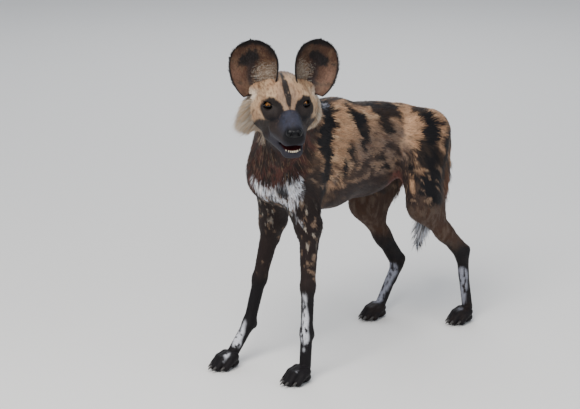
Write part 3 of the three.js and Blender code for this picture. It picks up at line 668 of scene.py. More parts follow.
def body_colour(p):
    """The coat's colours behind the head."""
    streak = along_coat(p)
    warp = noises(p, 30, (1, 2, 3), 7) + noises(p, 10, (4, 5, 6), 3)
    q = p + warp + (noise(streak, 1.3, 7) * 15)[:, None] * vec(0, 0.86, -0.5)
    fine = noise(streak, 1, 8)
    x, y, z = p.T
    flank = smooth(620, 545, z) * band(y, 190, 290, 444, 476)
    mottle = noise(q / (1, 1.6, 1), 15, 11) + 0.5 * noise(p, 7, 12)
    lower = smooth(590, 500, z) * smooth(150, 190, y)
    middle = smooth(318, 350, q[:, 1]) * smooth(600, 560, z) + smooth(500, 520, y) * 0.7
    shoulder = smooth(176, 150, y) * smooth(636, 610, z)
    belly = smooth(468, 446, q[:, 2]) * smooth(436, 410, y)
    saddle = patch(q, SADDLE) * smooth(-0.75, -0.3, noise(streak, 1.7, 13) + 0.3 * noise(p, 20, 14))
    fore = smooth(552, 520, q[:, 2]) * smooth(168, 146, q[:, 1])
    hind = smooth(460, 430, q[:, 2]) * smooth(400, 440, y)
    flecks = noise(along_coat(p) * (1, 1.6, 1), 1.3, 15) + 0.35 * noise(p, 26, 16)
    flecks = smooth(0.44, 0.64, flecks) * band(z, 190, 260, 530, 560)
    chips = smooth(0.4, 0.56, noise(p / (1, 1, 1.8), 8, 17)) * fore * band(z, 300, 350, 430, 470)
    rear = smooth(560, 582, q[:, 1]) * band(z, 330, 350, 420, 452)
    groin = smooth(70, 56, np.abs(x)) * smooth(400, 430, y) * band(z, 380, 400, 440, 470)
    shank = smooth(366, 350, q[:, 2]) * smooth(210, 250, z) * smooth(380, 420, y)
    shank_colour = np.tile(BROWN * 0.55, (len(p), 1))
    shank_colour = painted(shank_colour, (GREY_TAN * 0.55, smooth(-0.3, 0.6, noise(p / (1, 1, 2.4), 7, 18))))
    neck = neck_share(p)
    nape = neck * smooth(690, 730, z + 0.3 * y)
    ragged = p + warp * 0.8 + (noise(p / (1, 1, 3), 4.5, 71) * 15)[:, None] * vec(0, 0, 1)
    strand = smooth(-0.7, -0.1, noise(p / (1, 1, 4), 3.6, 72))
    broken = smooth(-0.5, 0.0, noise(p / (1, 1, 3.5), 4.5, 73) + 0.3 * noise(p, 3, 74))
    half_warped = p + warp * 0.5
    tail = tail_share(p)
    return painted(
        np.tile(TAN, (len(p), 1)),
        (PALE_TAN, smooth(0.1, 0.6, noise(streak, 1.6, 9)) * 0.6),
        (GREY_TAN, flank * (0.95 + 0.4 * noise(p, 22, 10))),
        (BROWN, smooth(0.15, 0.7, fine) * 0.6),
        # the flank is mottled from half way down, and the belly is dark
        (DARK, smooth(-0.35, 0.25, mottle) * lower * 0.85),
        (DARK, smooth(0.2, 0.5, mottle) * middle * 0.7),
        (DARK, smooth(-0.15, 0.3, noise(streak, 1.9, 75)) * shoulder * 0.8),
        (DARK * 1.3, belly * (0.85 + 0.12 * fine)),
        (BLACK * 1.3, saddle * 0.9),
        (DARK * 0.85, fore * 0.96),
        (DARK, hind * 0.9),
        *[(BLACK, patch(q, shape) * 0.94) for shape in NECK_BLACK + LEFT_BLACK + RIGHT_BLACK + ROUND_BLACK],
        *[(TAN * (1 + 0.35 * fine)[:, None], patch(q, shape, 6) * 0.9) for shape in TAN_PATCHES],
        # the legs are dark with small pale flecks
        (FLECK, flecks * 0.75 * np.maximum(fore, hind * smooth(340, 370, z))),
        (CREAM, chips * smooth(100, 60, y) * smooth(-0.2, 0.3, fine) * 0.6),
        (RUSSET, rear * 0.75),
        (INNER_SKIN, groin * 0.7),
        (shank_colour, shank * 0.9),
        (BLACK * 1.15, smooth(240, 200, q[:, 2]) * 0.85),
        # the throat and the nape
        (DARK, neck * 0.95),
        (THROAT, neck * smooth(-0.3, 0.4, noise(streak, 1.2, 19)) * 0.7),
        (BROWN, nape * smooth(-0.3, 0.4, noise(p, 18, 20)) * 0.7),
        *[(BLACK, patch(q, shape) * 0.9) for shape in NECK_BLACK],
        (GREY, patch(q, NECK_STREAK, 4) * smooth(-0.3, 0.3, fine) * 0.8),
        (GREY, patch(q, ELBOW_STREAK, 6) * smooth(-0.3, 0.3, fine) * 0.7),
        # the white chest and lower legs
        *[(WHITE, patch(ragged, shape, 5) * strand * 0.92) for shape in WHITE_CHEST],
        (BLACK, patch(ragged, CHEST_SPOT, 4) * 0.95),
        *[(WHITE * 0.85, patch(half_warped, shape, 4) * broken * 0.9) for shape in WHITE_LEGS],
        *[(GREY, patch(half_warped, shape, 5) * broken * 0.85) for shape in GREY_LEGS],
        # the tail: russet at its root, then dark, with a white tip
        (DARK, tail * 0.9),
        (RUSSET, tail * smooth(450, 500, z) * smooth(-0.2, 0.4, fine) * 0.7),
        (WHITE * 0.9, tail * smooth(292, 262, q[:, 2]) * 0.95),
    )


def head_colour(p):
    """The head's colours, which are alike on both sides but for their noise."""
    h = from_head(p)
    warp = noises(h, 14, (21, 22, 23), 3) + noises(h, 5, (26, 27, 28), 1.2)
    x, y, z = h.T
    q = h + warp
    low = q[:, 2]
    aside = np.abs(q[:, 0])
    fine = noise(h / (2.2, 12, 5), 1, 24)
    ruff = smooth(28, 44, q[:, 1]) * smooth(34, 46, aside) * smooth(22, 4, low)
    edge = np.interp(y, [-66, -53, -45, -36, -21, -9, 15, 36, 60], [60, 8, -6, -17, -26, -31, -40, -49, -56])
    mask = smooth(5, -5, low - edge + 5 * fine)
    eyes = np.hypot((aside - 38.5) / 24.5, (low + 7 + 1.5 * fine) / 28)
    width = np.interp(y, [-46, -38, -28, -18, 8, 25, 42, 66], [1.6, 3.2, 6.0, 8.0, 8.0, 6.4, 4.4, 2.2])
    off_line = np.abs(x + 0.5 * warp[:, 0] - np.interp(y, [-30, 0, 30], [0, -2, -3]))
    stripe = smooth(width + 1.4, width - 1.4, off_line) * smooth(-6, 0, z) * smooth(82, 66, y)
    sheen_top = mask * smooth(-62, -24, z) * smooth(40, 16, np.abs(x)) * smooth(-34, -62, y)
    # pale specks over the muzzle's top are painted highlights
    highlight_specks = smooth(0.45, 0.7, noise(h, 2.6, 30)) * smooth(-62, -30, z) * smooth(-70, -40, y)
    from_nose = np.linalg.norm((h - (0, -104, -46)) / (27, 22, 25), axis=1)
    gums = smooth(1.2, 0.2, np.abs(MOUTH(h))) * smooth(-10, -22, y) * smooth(25, 20, np.abs(x))
    return painted(
        np.tile(PALE_TAN * 0.85, (len(p), 1)),
        (TAN * 0.9, smooth(-0.5, 0.5, noise(h, 20, 25)) * 0.7),
        (BROWN, smooth(-0.2, 0.8, fine) * (0.4 + 0.35 * smooth(-10, 30, z))),
        (BROWN, smooth(40, 74, y) * smooth(6, 30, z) * 0.6),
        (GREY_TAN, smooth(34, 12, aside) * smooth(30, -20, y) * 0.65),
        # the pale ruff behind the cheeks
        (CREAM, ruff * 0.8),
        (DARK, patch(np.stack([aside, q[:, 1], low], -1), CHEEK_MARK, 2) * 0.8),
        # the dark mask: the whole muzzle, and the side of the jaw back to the throat
        (BLACK * 1.8, mask * 0.96),
        (BLACK * 1.5, smooth(1.1, 0.92, eyes + 0.05 * fine) * smooth(22, 10, y) * 0.97),
        # the black stripe of the forehead, widest half way
        (BLACK, stripe * smooth(-0.9, -0.5, fine) * 0.95),
        # the muzzle's top is greyer with a painted bluish sheen and painted highlight specks, the lower jaw
        # has a fainter painted sheen, and it is black round the nose
        (SLATE_SHEEN, sheen_top * (0.6 + 0.25 * noise(h, 5, 29) + 0.2 * fine)),
        (GREY_TAN, mask * highlight_specks * 0.5),
        (SLATE_SHEEN, mask * smooth(-50, -66, z) * smooth(10, -20, y) * 0.35),
        (BLACK, smooth(1.2, 0.75, from_nose) * 0.9),
        (DARK, smooth(-62, -76, low) * smooth(-14, 16, y) * 0.9),
        (GUM, gums),
    )


def coat_colour(p):
    return painted(body_colour(p), (head_colour(p), head_share(p)))


# Materials


def node(tree, kind, *feeds, **settings):
    """A shader node. Its inputs, by place or by name, take a value or another node's output."""
    made = tree.nodes.new(kind)
    wanted = list(zip(made.inputs, feeds))
    for key, value in settings.items():
        socket = made.inputs.get(key.replace("_", " "))
        if socket:
            wanted.append((socket, value))
        else:
            setattr(made, key, value)
    for socket, value in wanted:
        if isinstance(value, bpy.types.NodeSocket):
            tree.links.new(value, socket)
        else:
            socket.default_value = value
    return made


def plain(name, colour, rough, **more):
    material = bpy.data.materials.new(name)
    material.use_nodes = True
    tree = material.node_tree
    shader = tree.nodes["Principled BSDF"]
    shader.inputs["Base Color"].default_value = (*colour, 1)
    shader.inputs["Roughness"].default_value = rough
    for key, value in more.items():
        shader.inputs[key.replace("_", " ")].default_value = value
    return material, tree, shader


def bumped(tree, shader, scale, height, detail=4.0, stretch=(1, 1, 1), kind="ShaderNodeTexNoise"):
    """Gives the shader a fine procedural relief, and returns the relief's height."""
    place = node(tree, "ShaderNodeTexCoord").outputs["Object"]
    place = node(tree, "ShaderNodeMapping", Vector=place, Scale=stretch).outputs["Vector"]
    grain = node(tree, kind, Vector=place, Scale=scale, Detail=detail).outputs[0]
    bump = node(tree, "ShaderNodeBump", Strength=0.8, Distance=height, Height=grain)
    tree.links.new(bump.outputs["Normal"], shader.inputs["Normal"])
    return grain


def grained(name, colour, rough, scale, height, specular=0.5, **relief):
    material, tree, shader = plain(name, colour, rough, Specular_IOR_Level=specular)
    bumped(tree, shader, scale, height, **relief)
    return material


def marked(name, rough, scale, height, spread=0.35, **more):
    """A material that takes its colour from the coat's markings, with a fine procedural grain over them."""
    material, tree, shader = plain(name, (0.2, 0.15, 0.1), rough, **more)
    grain = bumped(tree, shader, scale, height)
    span = dict(From_Min=0.3, From_Max=0.7, To_Min=1 - spread, To_Max=1 + spread)
    light = node(tree, "ShaderNodeMapRange", Value=grain, **span).outputs["Result"]
    colour = node(tree, "ShaderNodeAttribute", attribute_name="coat").outputs["Color"]
    mix = node(tree, "ShaderNodeVectorMath", colour, operation="SCALE", Scale=light)
    tree.links.new(mix.outputs["Vector"], shader.inputs["Base Color"])
    return material


FUR_SHEEN = dict(Sheen_Weight=0.015, Sheen_Roughness=0.4, Sheen_Tint=(0.8, 0.86, 1.0, 1.0))
FUR_SHEEN["Specular_IOR_Level"] = 0.16
SKIN = marked("short_fur", 0.66, 900, 0.0009, **FUR_SHEEN)
HAIR = marked("coat_hair", 0.5, 380, 0.0002, 0.22, **FUR_SHEEN)
EAR_SKIN = marked("ear_skin", 0.7, 500, 0.0006, 0.3, Sheen_Weight=0.03, Specular_IOR_Level=0.3)


# Meshes


def in_scene(name, data):
    made = bpy.data.objects.new(name, data)
    bpy.context.scene.collection.objects.link(made)
    return made


def mesh_object(name, points, faces, material, colours=None, normals=None, uv=None):
    """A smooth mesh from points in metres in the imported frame."""
    mesh = bpy.data.meshes.new(name)
    mesh.vertices.add(len(points))
    mesh.vertices.foreach_set("co", points.astype(np.float32).ravel())
    faces = np.asarray(faces)
    mesh.loops.add(faces.size)
    mesh.loops.foreach_set("vertex_index", faces.astype(np.int32).ravel())
    mesh.polygons.add(len(faces))
    mesh.polygons.foreach_set("loop_start", (np.arange(len(faces)) * faces.shape[1]).astype(np.int32))
    mesh.update(calc_edges=True)
    mesh.polygons.foreach_set("use_smooth", np.full(len(faces), True))
    if colours is not None:
        layer = mesh.color_attributes.new("coat", "FLOAT_COLOR", "POINT")
        rgba = np.ones((len(points), 4), np.float32)
        rgba[:, :3] = colours
        layer.data.foreach_set("color", rgba.ravel())
    if uv is not None:
        layer = mesh.uv_layers.new(name="OFBake")
        layer.data.foreach_set("uv", uv[faces.ravel()].astype(np.float32).ravel())
    if normals is not None:
        mesh.normals_split_custom_set_from_vertices(unit(normals).tolist())
    mesh.update()
    mesh.materials.append(material)
    return in_scene(name, mesh)


def fixed(piece, slot, *nodes):
    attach(piece, "root")
    if nodes:
        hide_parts(*nodes)
    return piece


def outward(points, faces):
    """The faces of a closed form, turned so that they face out."""
    a, b, c = (points[faces[:, k]] - points[0] for k in range(3))
    return faces if (np.cross(a, b) * c).sum() > 0 else faces[:, ::-1]


def looped(rings, caps=True):
    """A closed form of rings of points, each ring with the same number of them."""
    rings = np.asarray(rings, float)
    rows, around = rings.shape[:2]
    i = np.arange(around)
    j = (i + 1) % around
    faces = []
    for r in range(rows - 1):
        a, b, c, d = r * around + i, r * around + j, (r + 1) * around + j, (r + 1) * around + i
        faces += [np.stack([a, b, c], -1), np.stack([a, c, d], -1)]
    points = rings.reshape(-1, 3)
    if caps:
        n = len(points)
        points = np.vstack([points, rings[0].mean(0), rings[-1].mean(0)])
        last = (rows - 1) * around
        faces.append(np.stack([np.full(around, n), j, i], -1))
        faces.append(np.stack([np.full(around, n + 1), last + i, last + j], -1))
    return points, np.vstack(faces)


def gathered(forms):
    """Several closed forms as one mesh."""
    starts = np.cumsum([0] + [len(points) for points, faces in forms])
    points = np.vstack([points for points, faces in forms])
    return points, np.vstack([faces + start for (_, faces), start in zip(forms, starts)])


# The skin

CELL = 5.0
HEAD_CELL = 2.5
axes = (
    marks(-150, 262, CELL, [(-125, -50, 3.6), (44, 250, HEAD_CELL)]),
    marks(-160, 712, CELL, [(-160, 62, HEAD_CELL), (450, 680, 4.3)]),
    marks(-6, 790, CELL, [(-6, 60, 3.2), (622, 786, HEAD_CELL)]),
)
skin_points, skin_faces = netted(skin_field, axes)
skin_points = settled(skin_field, skin_points)
skin_normals = normals_of(skin_points, skin_faces)
FLESH_NODES = ["torso", "neck", "head", "lower_jaw", "tail"]
for side in SIDES:
    FLESH_NODES += [f"{part}_{side}" for part in ("foreleg", "forepaw", "thigh", "shank", "hindpaw")]
skin = mesh_object("skin", home(skin_points), skin_faces, SKIN, coat_colour(skin_points))
fixed(skin, "coat", *FLESH_NODES)
print("skin", len(skin_points), len(skin_faces))


# Eyes and lids

IRIS = [
    (0.0, (0.002, 0.002, 0.002)),
    (0.17, (0.003, 0.002, 0.002)),
    (0.22, (0.20, 0.08, 0.016)),
    (0.45, (0.52, 0.22, 0.045)),
    (0.74, (0.42, 0.16, 0.03)),
    (0.86, (0.12, 0.045, 0.012)),
    (0.93, (0.012, 0.008, 0.007)),
    (1.0, (0.14, 0.09, 0.08)),
]


def eye_material():
    """Colours by the distance from the eye's axis, drawn out into fibres."""
    material, tree, shader = plain("eye_amber", (0.3, 0.12, 0.03), 0.08, Coat_Weight=1.0, Coat_Roughness=0.02)
    parts = node(tree, "ShaderNodeSeparateXYZ", node(tree, "ShaderNodeTexCoord").outputs["Object"]).outputs
    flat = node(tree, "ShaderNodeCombineXYZ", X=parts["X"], Z=parts["Z"]).outputs[0]
    reach = node(tree, "ShaderNodeVectorMath", flat, operation="LENGTH").outputs["Value"]
    way = node(tree, "ShaderNodeVectorMath", flat, operation="NORMALIZE").outputs[0]
    fibres = node(tree, "ShaderNodeTexNoise", Vector=way, Scale=14.0, Detail=3.0).outputs[0]
    spread = node(tree, "ShaderNodeMath", fibres, 0.0016, reach, operation="MULTIPLY_ADD").outputs[0]
    share = node(tree, "ShaderNodeMath", spread, EYE_RADIUS / 1000, operation="DIVIDE").outputs[0]
    ramp = node(tree, "ShaderNodeValToRGB", share)
    stops = ramp.color_ramp.elements
    for at, colour in IRIS[1:-1]:
        stops.new(at)
    for stop, (at, colour) in zip(stops, IRIS):
        stop.color = (*colour, 1)
    tree.links.new(ramp.outputs["Color"], shader.inputs["Base Color"])
    return material


EYE = eye_material()
RIM = grained("lid_rim", (0.006, 0.005, 0.006), 0.4, 1500, 0.0002, 0.3)
AROUND = np.linspace(0, 2 * math.pi, 64, endpoint=False)


def sphere(radius, around, rows):
    a = np.linspace(0, 2 * math.pi, around, endpoint=False)
    v = np.linspace(0, math.pi, rows)[1:-1, None]
    rings = np.stack([np.sin(v) * np.cos(a), -np.cos(v) + 0 * a, np.sin(v) * np.sin(a)], -1)
    points, faces = looped(radius * rings)
    points[-2:] = (0, -radius, 0), (0, radius, 0)
    return points, outward(points, faces)


def lid(s):
    """A fleshy ring round the eye, from its almond rim on the ball out to the skin."""
    place = eye_place(s)
    up = np.sin(AROUND)
    x = 10.3 * np.cos(AROUND)
    z = np.where(up > 0, *LID_HALVES) * up * np.abs(up) ** 0.2 + 0.5 * s * np.cos(AROUND)

    def on_ball(k, radius):
        deep = np.sqrt(np.maximum(radius**2 - (x * k) ** 2 - (z * k) ** 2, 5))
        return put(np.stack([x * k, -deep, z * k], -1), place)

    def on_skin(k, lift):
        spot = settled(closed_skin, on_ball(k, 14.0), 4, 6)
        return spot + unit(slope_of(closed_skin, spot)) * lift

    rows = [on_ball(1.0, 11.05), on_ball(0.99, 11.7), on_ball(1.05, 12.1), on_ball(1.18, 12.8)]
    rows += [on_skin(1.36, 0.7), on_skin(1.52, -0.2), on_skin(1.7, -1.8), on_skin(1.6, -3.5)]
    rows.append(on_ball(1.02, 10.9) + 2.0 * place[:3, 1])
    points, faces = looped(rows + [rows[0]], caps=False)
    keep = len(points) - len(AROUND)
    # the rings run the other way round from looped's, so the faces are turned over to look out of the face
    return points[:keep], (faces % keep)[:, ::-1]


for side, s in SIDES.items():
    ball = mesh_object("eyeball_" + side, *sphere(EYE_RADIUS / 1000, 48, 28), EYE)
    place = eye_place(s) @ turn("x", GAZE_DOWN)
    place[:3, 3] = home(place[:3, 3])
    ball.matrix_world = Matrix(place.tolist())
    fixed(ball, "eye", "eye_" + side)
    points, faces = lid(s)
    fixed(mesh_object("lids_" + side, home(points), faces, RIM), "nose")


# Nose, teeth and claws

NOSE_RELIEF = dict(detail=0.0, kind="ShaderNodeTexVoronoi")
NOSE = grained("nose_leather", (0.003, 0.003, 0.004), 0.28, 900, 0.00025, 0.2, **NOSE_RELIEF)
TOOTH = grained("tooth", (0.5, 0.44, 0.33), 0.3, 700, 0.0001)
CLAW = grained("claw_horn", (0.03, 0.026, 0.024), 0.4, 500, 0.0002, stretch=(1, 0.1, 0.1))


def nose_field(p):
    value = egg((0, -102, -40), 17.3, 12.6, 12.4)(p)
    value = join(value, egg((0, -97, -50), 9, 9, 8)(p), 5)
    for s in SIGNS:
        value = join(value, egg((10.5 * s, -104, -39), 8.4, 9.5, 9.5)(p), 4)
    for s in SIGNS:
        value = -join(-value, rod((7.2 * s, -118, -40), (8.6 * s, -104, -40), 3.5, 2.4)(p), 1.6)
        value = -join(-value, rod((8.5 * s, -114, -42.5), (17 * s, -104, -44.5), 1.7, 1.1)(p), 1.4)
    return -join(-value, rod((0, -118.5, -44), (0, -108, -56), 1.1, 1.2)(p), 1.4)


NOSE_BOX = ((-21, 21), (-119, -84), (-62, -24))
NOSE_CELL = 0.9
points, faces = netted(nose_field, [marks(low, high, NOSE_CELL) for low, high in NOSE_BOX])
points = home(put(settled(nose_field, points, 2, 1), HEAD))
fixed(mesh_object("nose_leather", points, faces, NOSE), "nose", "nose")


def cone(spots, radii, around=10):
    rings = []
    a = np.linspace(0, 2 * math.pi, around, endpoint=False)[:, None]
    for n, spot in enumerate(spots):
        along = unit(spots[min(n + 1, len(spots) - 1)] - spots[max(n - 1, 0)])
        side = unit(np.cross(along, (0.1, 0.2, 1) if abs(along[2]) < 0.9 else (1, 0, 0)))
        rings.append(spot + radii[n] * (np.cos(a) * side + np.sin(a) * np.cross(along, side)))
    return looped(rings)


teeth = []
for s in SIGNS:
    for n in range(3):
        foot = vec((2 + 4.2 * n) * s, -97 + 1.2 * n * n, -88.5)
        steps = np.array([0, 0.5, 0.85, 1.0])[:, None]
        teeth.append(cone(foot + steps * (0, -0.8, 4.4), (1.9, 1.9, 1.5, 0.6)))
    steps = np.array([0, 0.4, 0.75, 1.0])
    curve = np.stack([1.4 * s * steps, -1.2 * steps - 0.8 * steps**2, 9.5 * steps], -1)
    teeth.append(cone(vec(15 * s, -88, -92) + curve, (2.6, 2.3, 1.4, 0.4)))
points, faces = gathered(teeth)
fixed(mesh_object("teeth", home(put(points, HEAD)), faces, TOOTH), "eye")

claws = []
for side, end, n in itertools.product(SIDES, PAWS, TOES):
    tip = toe_of(n, JOINTS[side][end + "paw"], PAWS[end][0])[2] + (0, -5, 1.5)
    t = np.linspace(0, 1, 6)
    curve = tip + np.stack([0 * t, -15.5 * t, 2 * t - 8 * t * t], -1)
    claws.append(cone(curve, 3.6 * (1 - t) ** 0.6 + 0.35))
points, faces = gathered(claws)
fixed(mesh_object("claws", home(points), faces, CLAW), "nose")


# Ears


def ear_points(side, share, across, out):
    """Points of an ear's cup: share is 0 at its root and 1 at its tip, and out is +1 behind and -1 within."""
    above = np.maximum(0, share - 0.55) / 0.46
    below = np.maximum(0, 0.55 - share) / 0.55
    half = EAR_WIDTH / 2 * np.sqrt(np.maximum(1 - above**2, 0.004)) * (1 - 0.45 * below**2)
    curl = np.radians(100 - 70 * np.minimum(1, share / 0.85))
    back = 4 + 10 * np.sin(math.pi * share)
    arc = half / np.sin(np.minimum(curl, math.pi / 2))
    angle = across * curl
    thick = 0.9 + 1.2 * (1 - across**2) * (1 - 0.6 * share)
    fold = 0.8 * np.sin(9 * across + 3 * share) * (1 - share) * (1 - across**2)
    reach = arc + out * thick + fold
    points = np.stack([reach * np.sin(angle), back - arc + reach * np.cos(angle), share * EAR_HEIGHT], -1)
    return put(points, ear_place(side))


def ear_colour(side, share, across, out, p):
    """A black rim and blotch round a mottled brown cup that has a pale inner edge."""
    lateral = SIDES[side] * across
    streak = noise(np.stack([across * 2.2, share * 16, 0 * share], -1), 1, 33)
    mottle = noise(p, 11, 31) + 0.6 * noise(p, 4.5, 32) + 0.4 * streak
    within = out < 0

    def spot(a, b, wide, tall):
        return np.exp(-(((lateral - a) / wide) ** 2) - ((share - b) / tall) ** 2)

    rim = smooth(0.9, 0.97, np.abs(across)) + smooth(0.84, 0.92, share + 0.05 * mottle)
    rim = rim + smooth(0.5, 0.9, -lateral) * smooth(0.5, 0.75, share)
    return painted(
        BROWN * np.where(within, 0.6, 0.4)[:, None],
        (TAN * 0.5, within * smooth(-0.3, 0.7, mottle) * 0.75),
        (EAR_BARE, within * spot(0.78, 0.34, 0.3, 0.24) * 0.5),
        (BLACK, smooth(0.05, 0.7, mottle) * np.where(within, 0.65, 0.8)),
        (BLACK, within * smooth(0.3, 0.7, spot(0.16, 0.63, 0.48, 0.18) + 0.3 * mottle) * 0.94),
        # the dark spot low in the cup is painted shade where the ear canal opens
        (DARK, within * smooth(0.25, 0.75, spot(0.12, 0.3, 0.27, 0.34) + 0.15 * mottle) * 0.92),
        (CREAM, within * smooth(0.35, 0.8, spot(-0.3, 0.3, 0.34, 0.15)) * (0.3 + 0.4 * streak)),
        (BLACK, np.clip(rim, 0, 1) * 0.94),
    )


EAR_CELLS = 44
for side in SIDES:
    share, across = np.meshgrid(np.linspace(0, 1, EAR_CELLS), np.linspace(-1, 1, EAR_CELLS), indexing="ij")
    # each ring runs over the back of the cup and returns within it
    share, across = np.hstack([share, share]), np.hstack([across, across[:, ::-1]])
    out = np.where(np.arange(2 * EAR_CELLS) < EAR_CELLS, 1.0, -1.0) + 0 * share
    flat = (share.ravel(), across.ravel(), out.ravel())
    spots = ear_points(side, *flat)
    tint = ear_colour(side, *flat, spots)
    points, faces = looped(spots.reshape(EAR_CELLS, -1, 3))
    tint = np.vstack([tint, tint[:1], tint[-1:]])
    ear = mesh_object("ear_shell_" + side, home(points), outward(points, faces), EAR_SKIN, tint)
    fixed(ear, "ear", "ear_" + side)


# The coat: closed three-sided tufts that bend along the lie


def part_of(p):
    """0 on the trunk, the neck and most of the tail, 1 on the head, and 2 to 5 on the legs."""
    x, y, z = p.T
    part = np.where(head_share(p) > 0.5, 1, 0)
    leg = (z < np.where(y < 300, 420, 460)) & ((y < 190) | (y > 410)) & ((np.abs(x) > 30) | (z < 360))
    return np.where(leg, 2 + 2 * (x <= 0) + (y >= 300), part)


def atlas(p):
    """Places on an unwrap of the skin: the trunk and each leg round its length, the head by angle."""
    part = part_of(p)

    def angle(a, b):
        return np.arctan2(a, b) / (2 * math.pi) + 0.5

    x, y, z = p.T
    h = from_head(p) - (0, 10, -20)
    trunk = (0.02 + 0.46 * np.clip((y + 80) / 800, 0, 1), 0.02 + 0.96 * angle(x, z - 510))
    rise = np.arctan2(h[:, 2], np.hypot(h[:, 0], h[:, 1])) / math.pi + 0.5
    places = [trunk, (0.52 + 0.46 * angle(h[:, 0], -h[:, 1]), 0.52 + 0.28 * rise)]
    for n, (side, end) in enumerate(itertools.product(SIDES, LEG_LINES)):
        line = np.array([JOINTS[side][name] for name in LEG_LINES[end]])
        mid = [np.interp(z, line[:, 2], line[:, k]) for k in (0, 1)]
        round_leg = 0.52 + 0.115 * n + 0.105 * angle(x - mid[0], y - mid[1])
        places.append((round_leg, 0.02 + 0.46 * np.clip(z / 560, 0, 1)))
    return np.array(places)[part, :, np.arange(len(p))]


MOST_TRIANGLES = 195000
PATCH_SIZE = 0.003
TUFT_SECTION = ((1, 0), (0, 0.55), (-1, 0))
# how far a tuft's normals follow the skin at its ridge and edges, and turn to its sides
TOP_LIGHT, SIDE_LIGHT, SIDE_TURN = 1.056, 0.776, 0.364
pieces = []


def tufts(name, slot, roots, facing, lie, length, width, lift, droop, colours, uv, rings=(0.0, 0.5), sink=0.8):
    """Joined spikes of three sides, in pieces that each have at most MOST_TRIANGLES."""
    n = len(roots)
    lie = unit(lie - facing * (lie * facing).sum(1, keepdims=True))
    side = np.cross(lie, facing)
    levels = len(rings)
    per = 3 * levels + 1
    points, normals, tint = np.empty((3, n, per, 3))
    place = np.empty((n, per, 2))
    long = length[:, None]

    def middle(t):
        rise = lift[:, None] * (t - droop[:, None] * t * t) * long
        return roots + lie * (long * t * (1 - 0.12 * t * t)) + facing * (rise - sink * (1 - t))

    for r, t in enumerate(rings):
        full = width[:, None] * (0.75 + 0.5 * t if t < 0.5 else 1.35 - 0.8 * t) / 2
        for c, (u, v) in enumerate(TUFT_SECTION):
            k = 3 * r + c
            points[:, k] = middle(t) + side * (u * full) + facing * (v * full)
            normals[:, k] = facing * (TOP_LIGHT if v else SIDE_LIGHT) + side * (u * SIDE_TURN)
            # each tuft's colour darkens toward its root as painted shade
            tint[:, k] = colours * (0.62 + 0.5 * t)
            place[:, k] = uv + PATCH_SIZE * np.array([0.5 * u, t])
    points[:, -1] = middle(1.0)
    normals[:, -1] = facing + lie * 0.15
    # the tip is lighter, as painted light
    tint[:, -1] = colours * 1.22
    place[:, -1] = uv + (0, PATCH_SIZE)
    one = [(0, 2, 1)]
    for a, c in itertools.product(range(0, 3 * levels - 3, 3), range(3)):
        d = (c + 1) % 3
        one += [(a + c, a + d, a + 3 + d), (a + c, a + 3 + d, a + 3 + c)]
    last = 3 * (levels - 1)
    one += [(last + c, last + (c + 1) % 3, per - 1) for c in range(3)]
    one = outward(points[0], np.array(one))
    parts = math.ceil(n / (MOST_TRIANGLES // len(one)))
    for k in range(parts):
        group = slice(k * n // parts, (k + 1) * n // parts)
        starts = np.arange(group.stop - group.start) * per
        faces = (one[None] + starts[:, None, None]).reshape(-1, 3)
        flat = [values[group].reshape(-1, values.shape[2]) for values in (points, tint, normals, place)]
        made = mesh_object(f"{name}_{k + 1}", home(flat[0]), faces, HAIR, *flat[1:])
        pieces.append((fixed(made, slot), len(faces)))


def sown(weights, count):
    """Roots spread over the skin in proportion to a weight for each of its faces."""
    corners = skin_points[skin_faces]
    area = np.linalg.norm(np.cross(corners[:, 1] - corners[:, 0], corners[:, 2] - corners[:, 0]), axis=1) / 2
    total = np.cumsum(area * weights)
    pick = np.searchsorted(total, (np.arange(count) + dice.random(count)) / count * total[-1] * 0.999999)
    a, b = dice.random(count), dice.random(count)
    over = a + b > 1
    a[over], b[over] = 1 - a[over], 1 - b[over]
    shares = np.stack([a, b, 1 - a - b], -1)[:, :, None]
    roots, facing = ((values[skin_faces[pick]] * shares).sum(1) for values in (skin_points, skin_normals))
    return roots, unit(facing)


def spread(values, share):
    """The values, each made a little more or less by chance."""
    return values * (1 + dice.normal(0, share, len(values)))


def tinted(colours, share=0.14):
    light = 1 + dice.normal(0, share, (len(colours), 1))
    warm = dice.normal(0, 0.04, (len(colours), 1))
    return np.clip(colours * np.clip(light, 0.5, 1.5) * (1 + warm * np.array([1, 0, -1])), 0.002, 0.95)


def hair_length(p):
    legs = np.interp(p[:, 2], [0, 30, 90, 220, 330, 430, 520], [2.4, 3.4, 5.6, 7.5, 11.0, 15.0, 18.0])
    face = ([-112, -60, -20, 14, 50, 90], [1.8, 2.4, 3.2, 4.8, 7.0, 18.0])
    return head_or_body(p, face, legs + 8 * neck_share(p))


def hair_width(length):
    return 0.65 + 0.065 * length


def head_way(h):
    """The lie of the hair on the head, in its own frame."""
    s = np.sign(h[:, 0])
    aside = smooth(14, 46, np.abs(h[:, 0]))
    low = smooth(8, -40, h[:, 2])
    across, down = s * (0.12 + 0.3 * aside), 0.34 * (1 - low) - (0.25 + 0.5 * aside) * low
    return np.stack([across, 1.0 - 0.35 * low * aside, down], -1)


def out_of_head(x, y, z, p):
    """A way given in the head's frame, for each point."""
    return np.stack([x + 0 * p[:, 0], y + 0 * p[:, 0], z + 0 * p[:, 0]], -1) @ HEAD[:3, :3].T


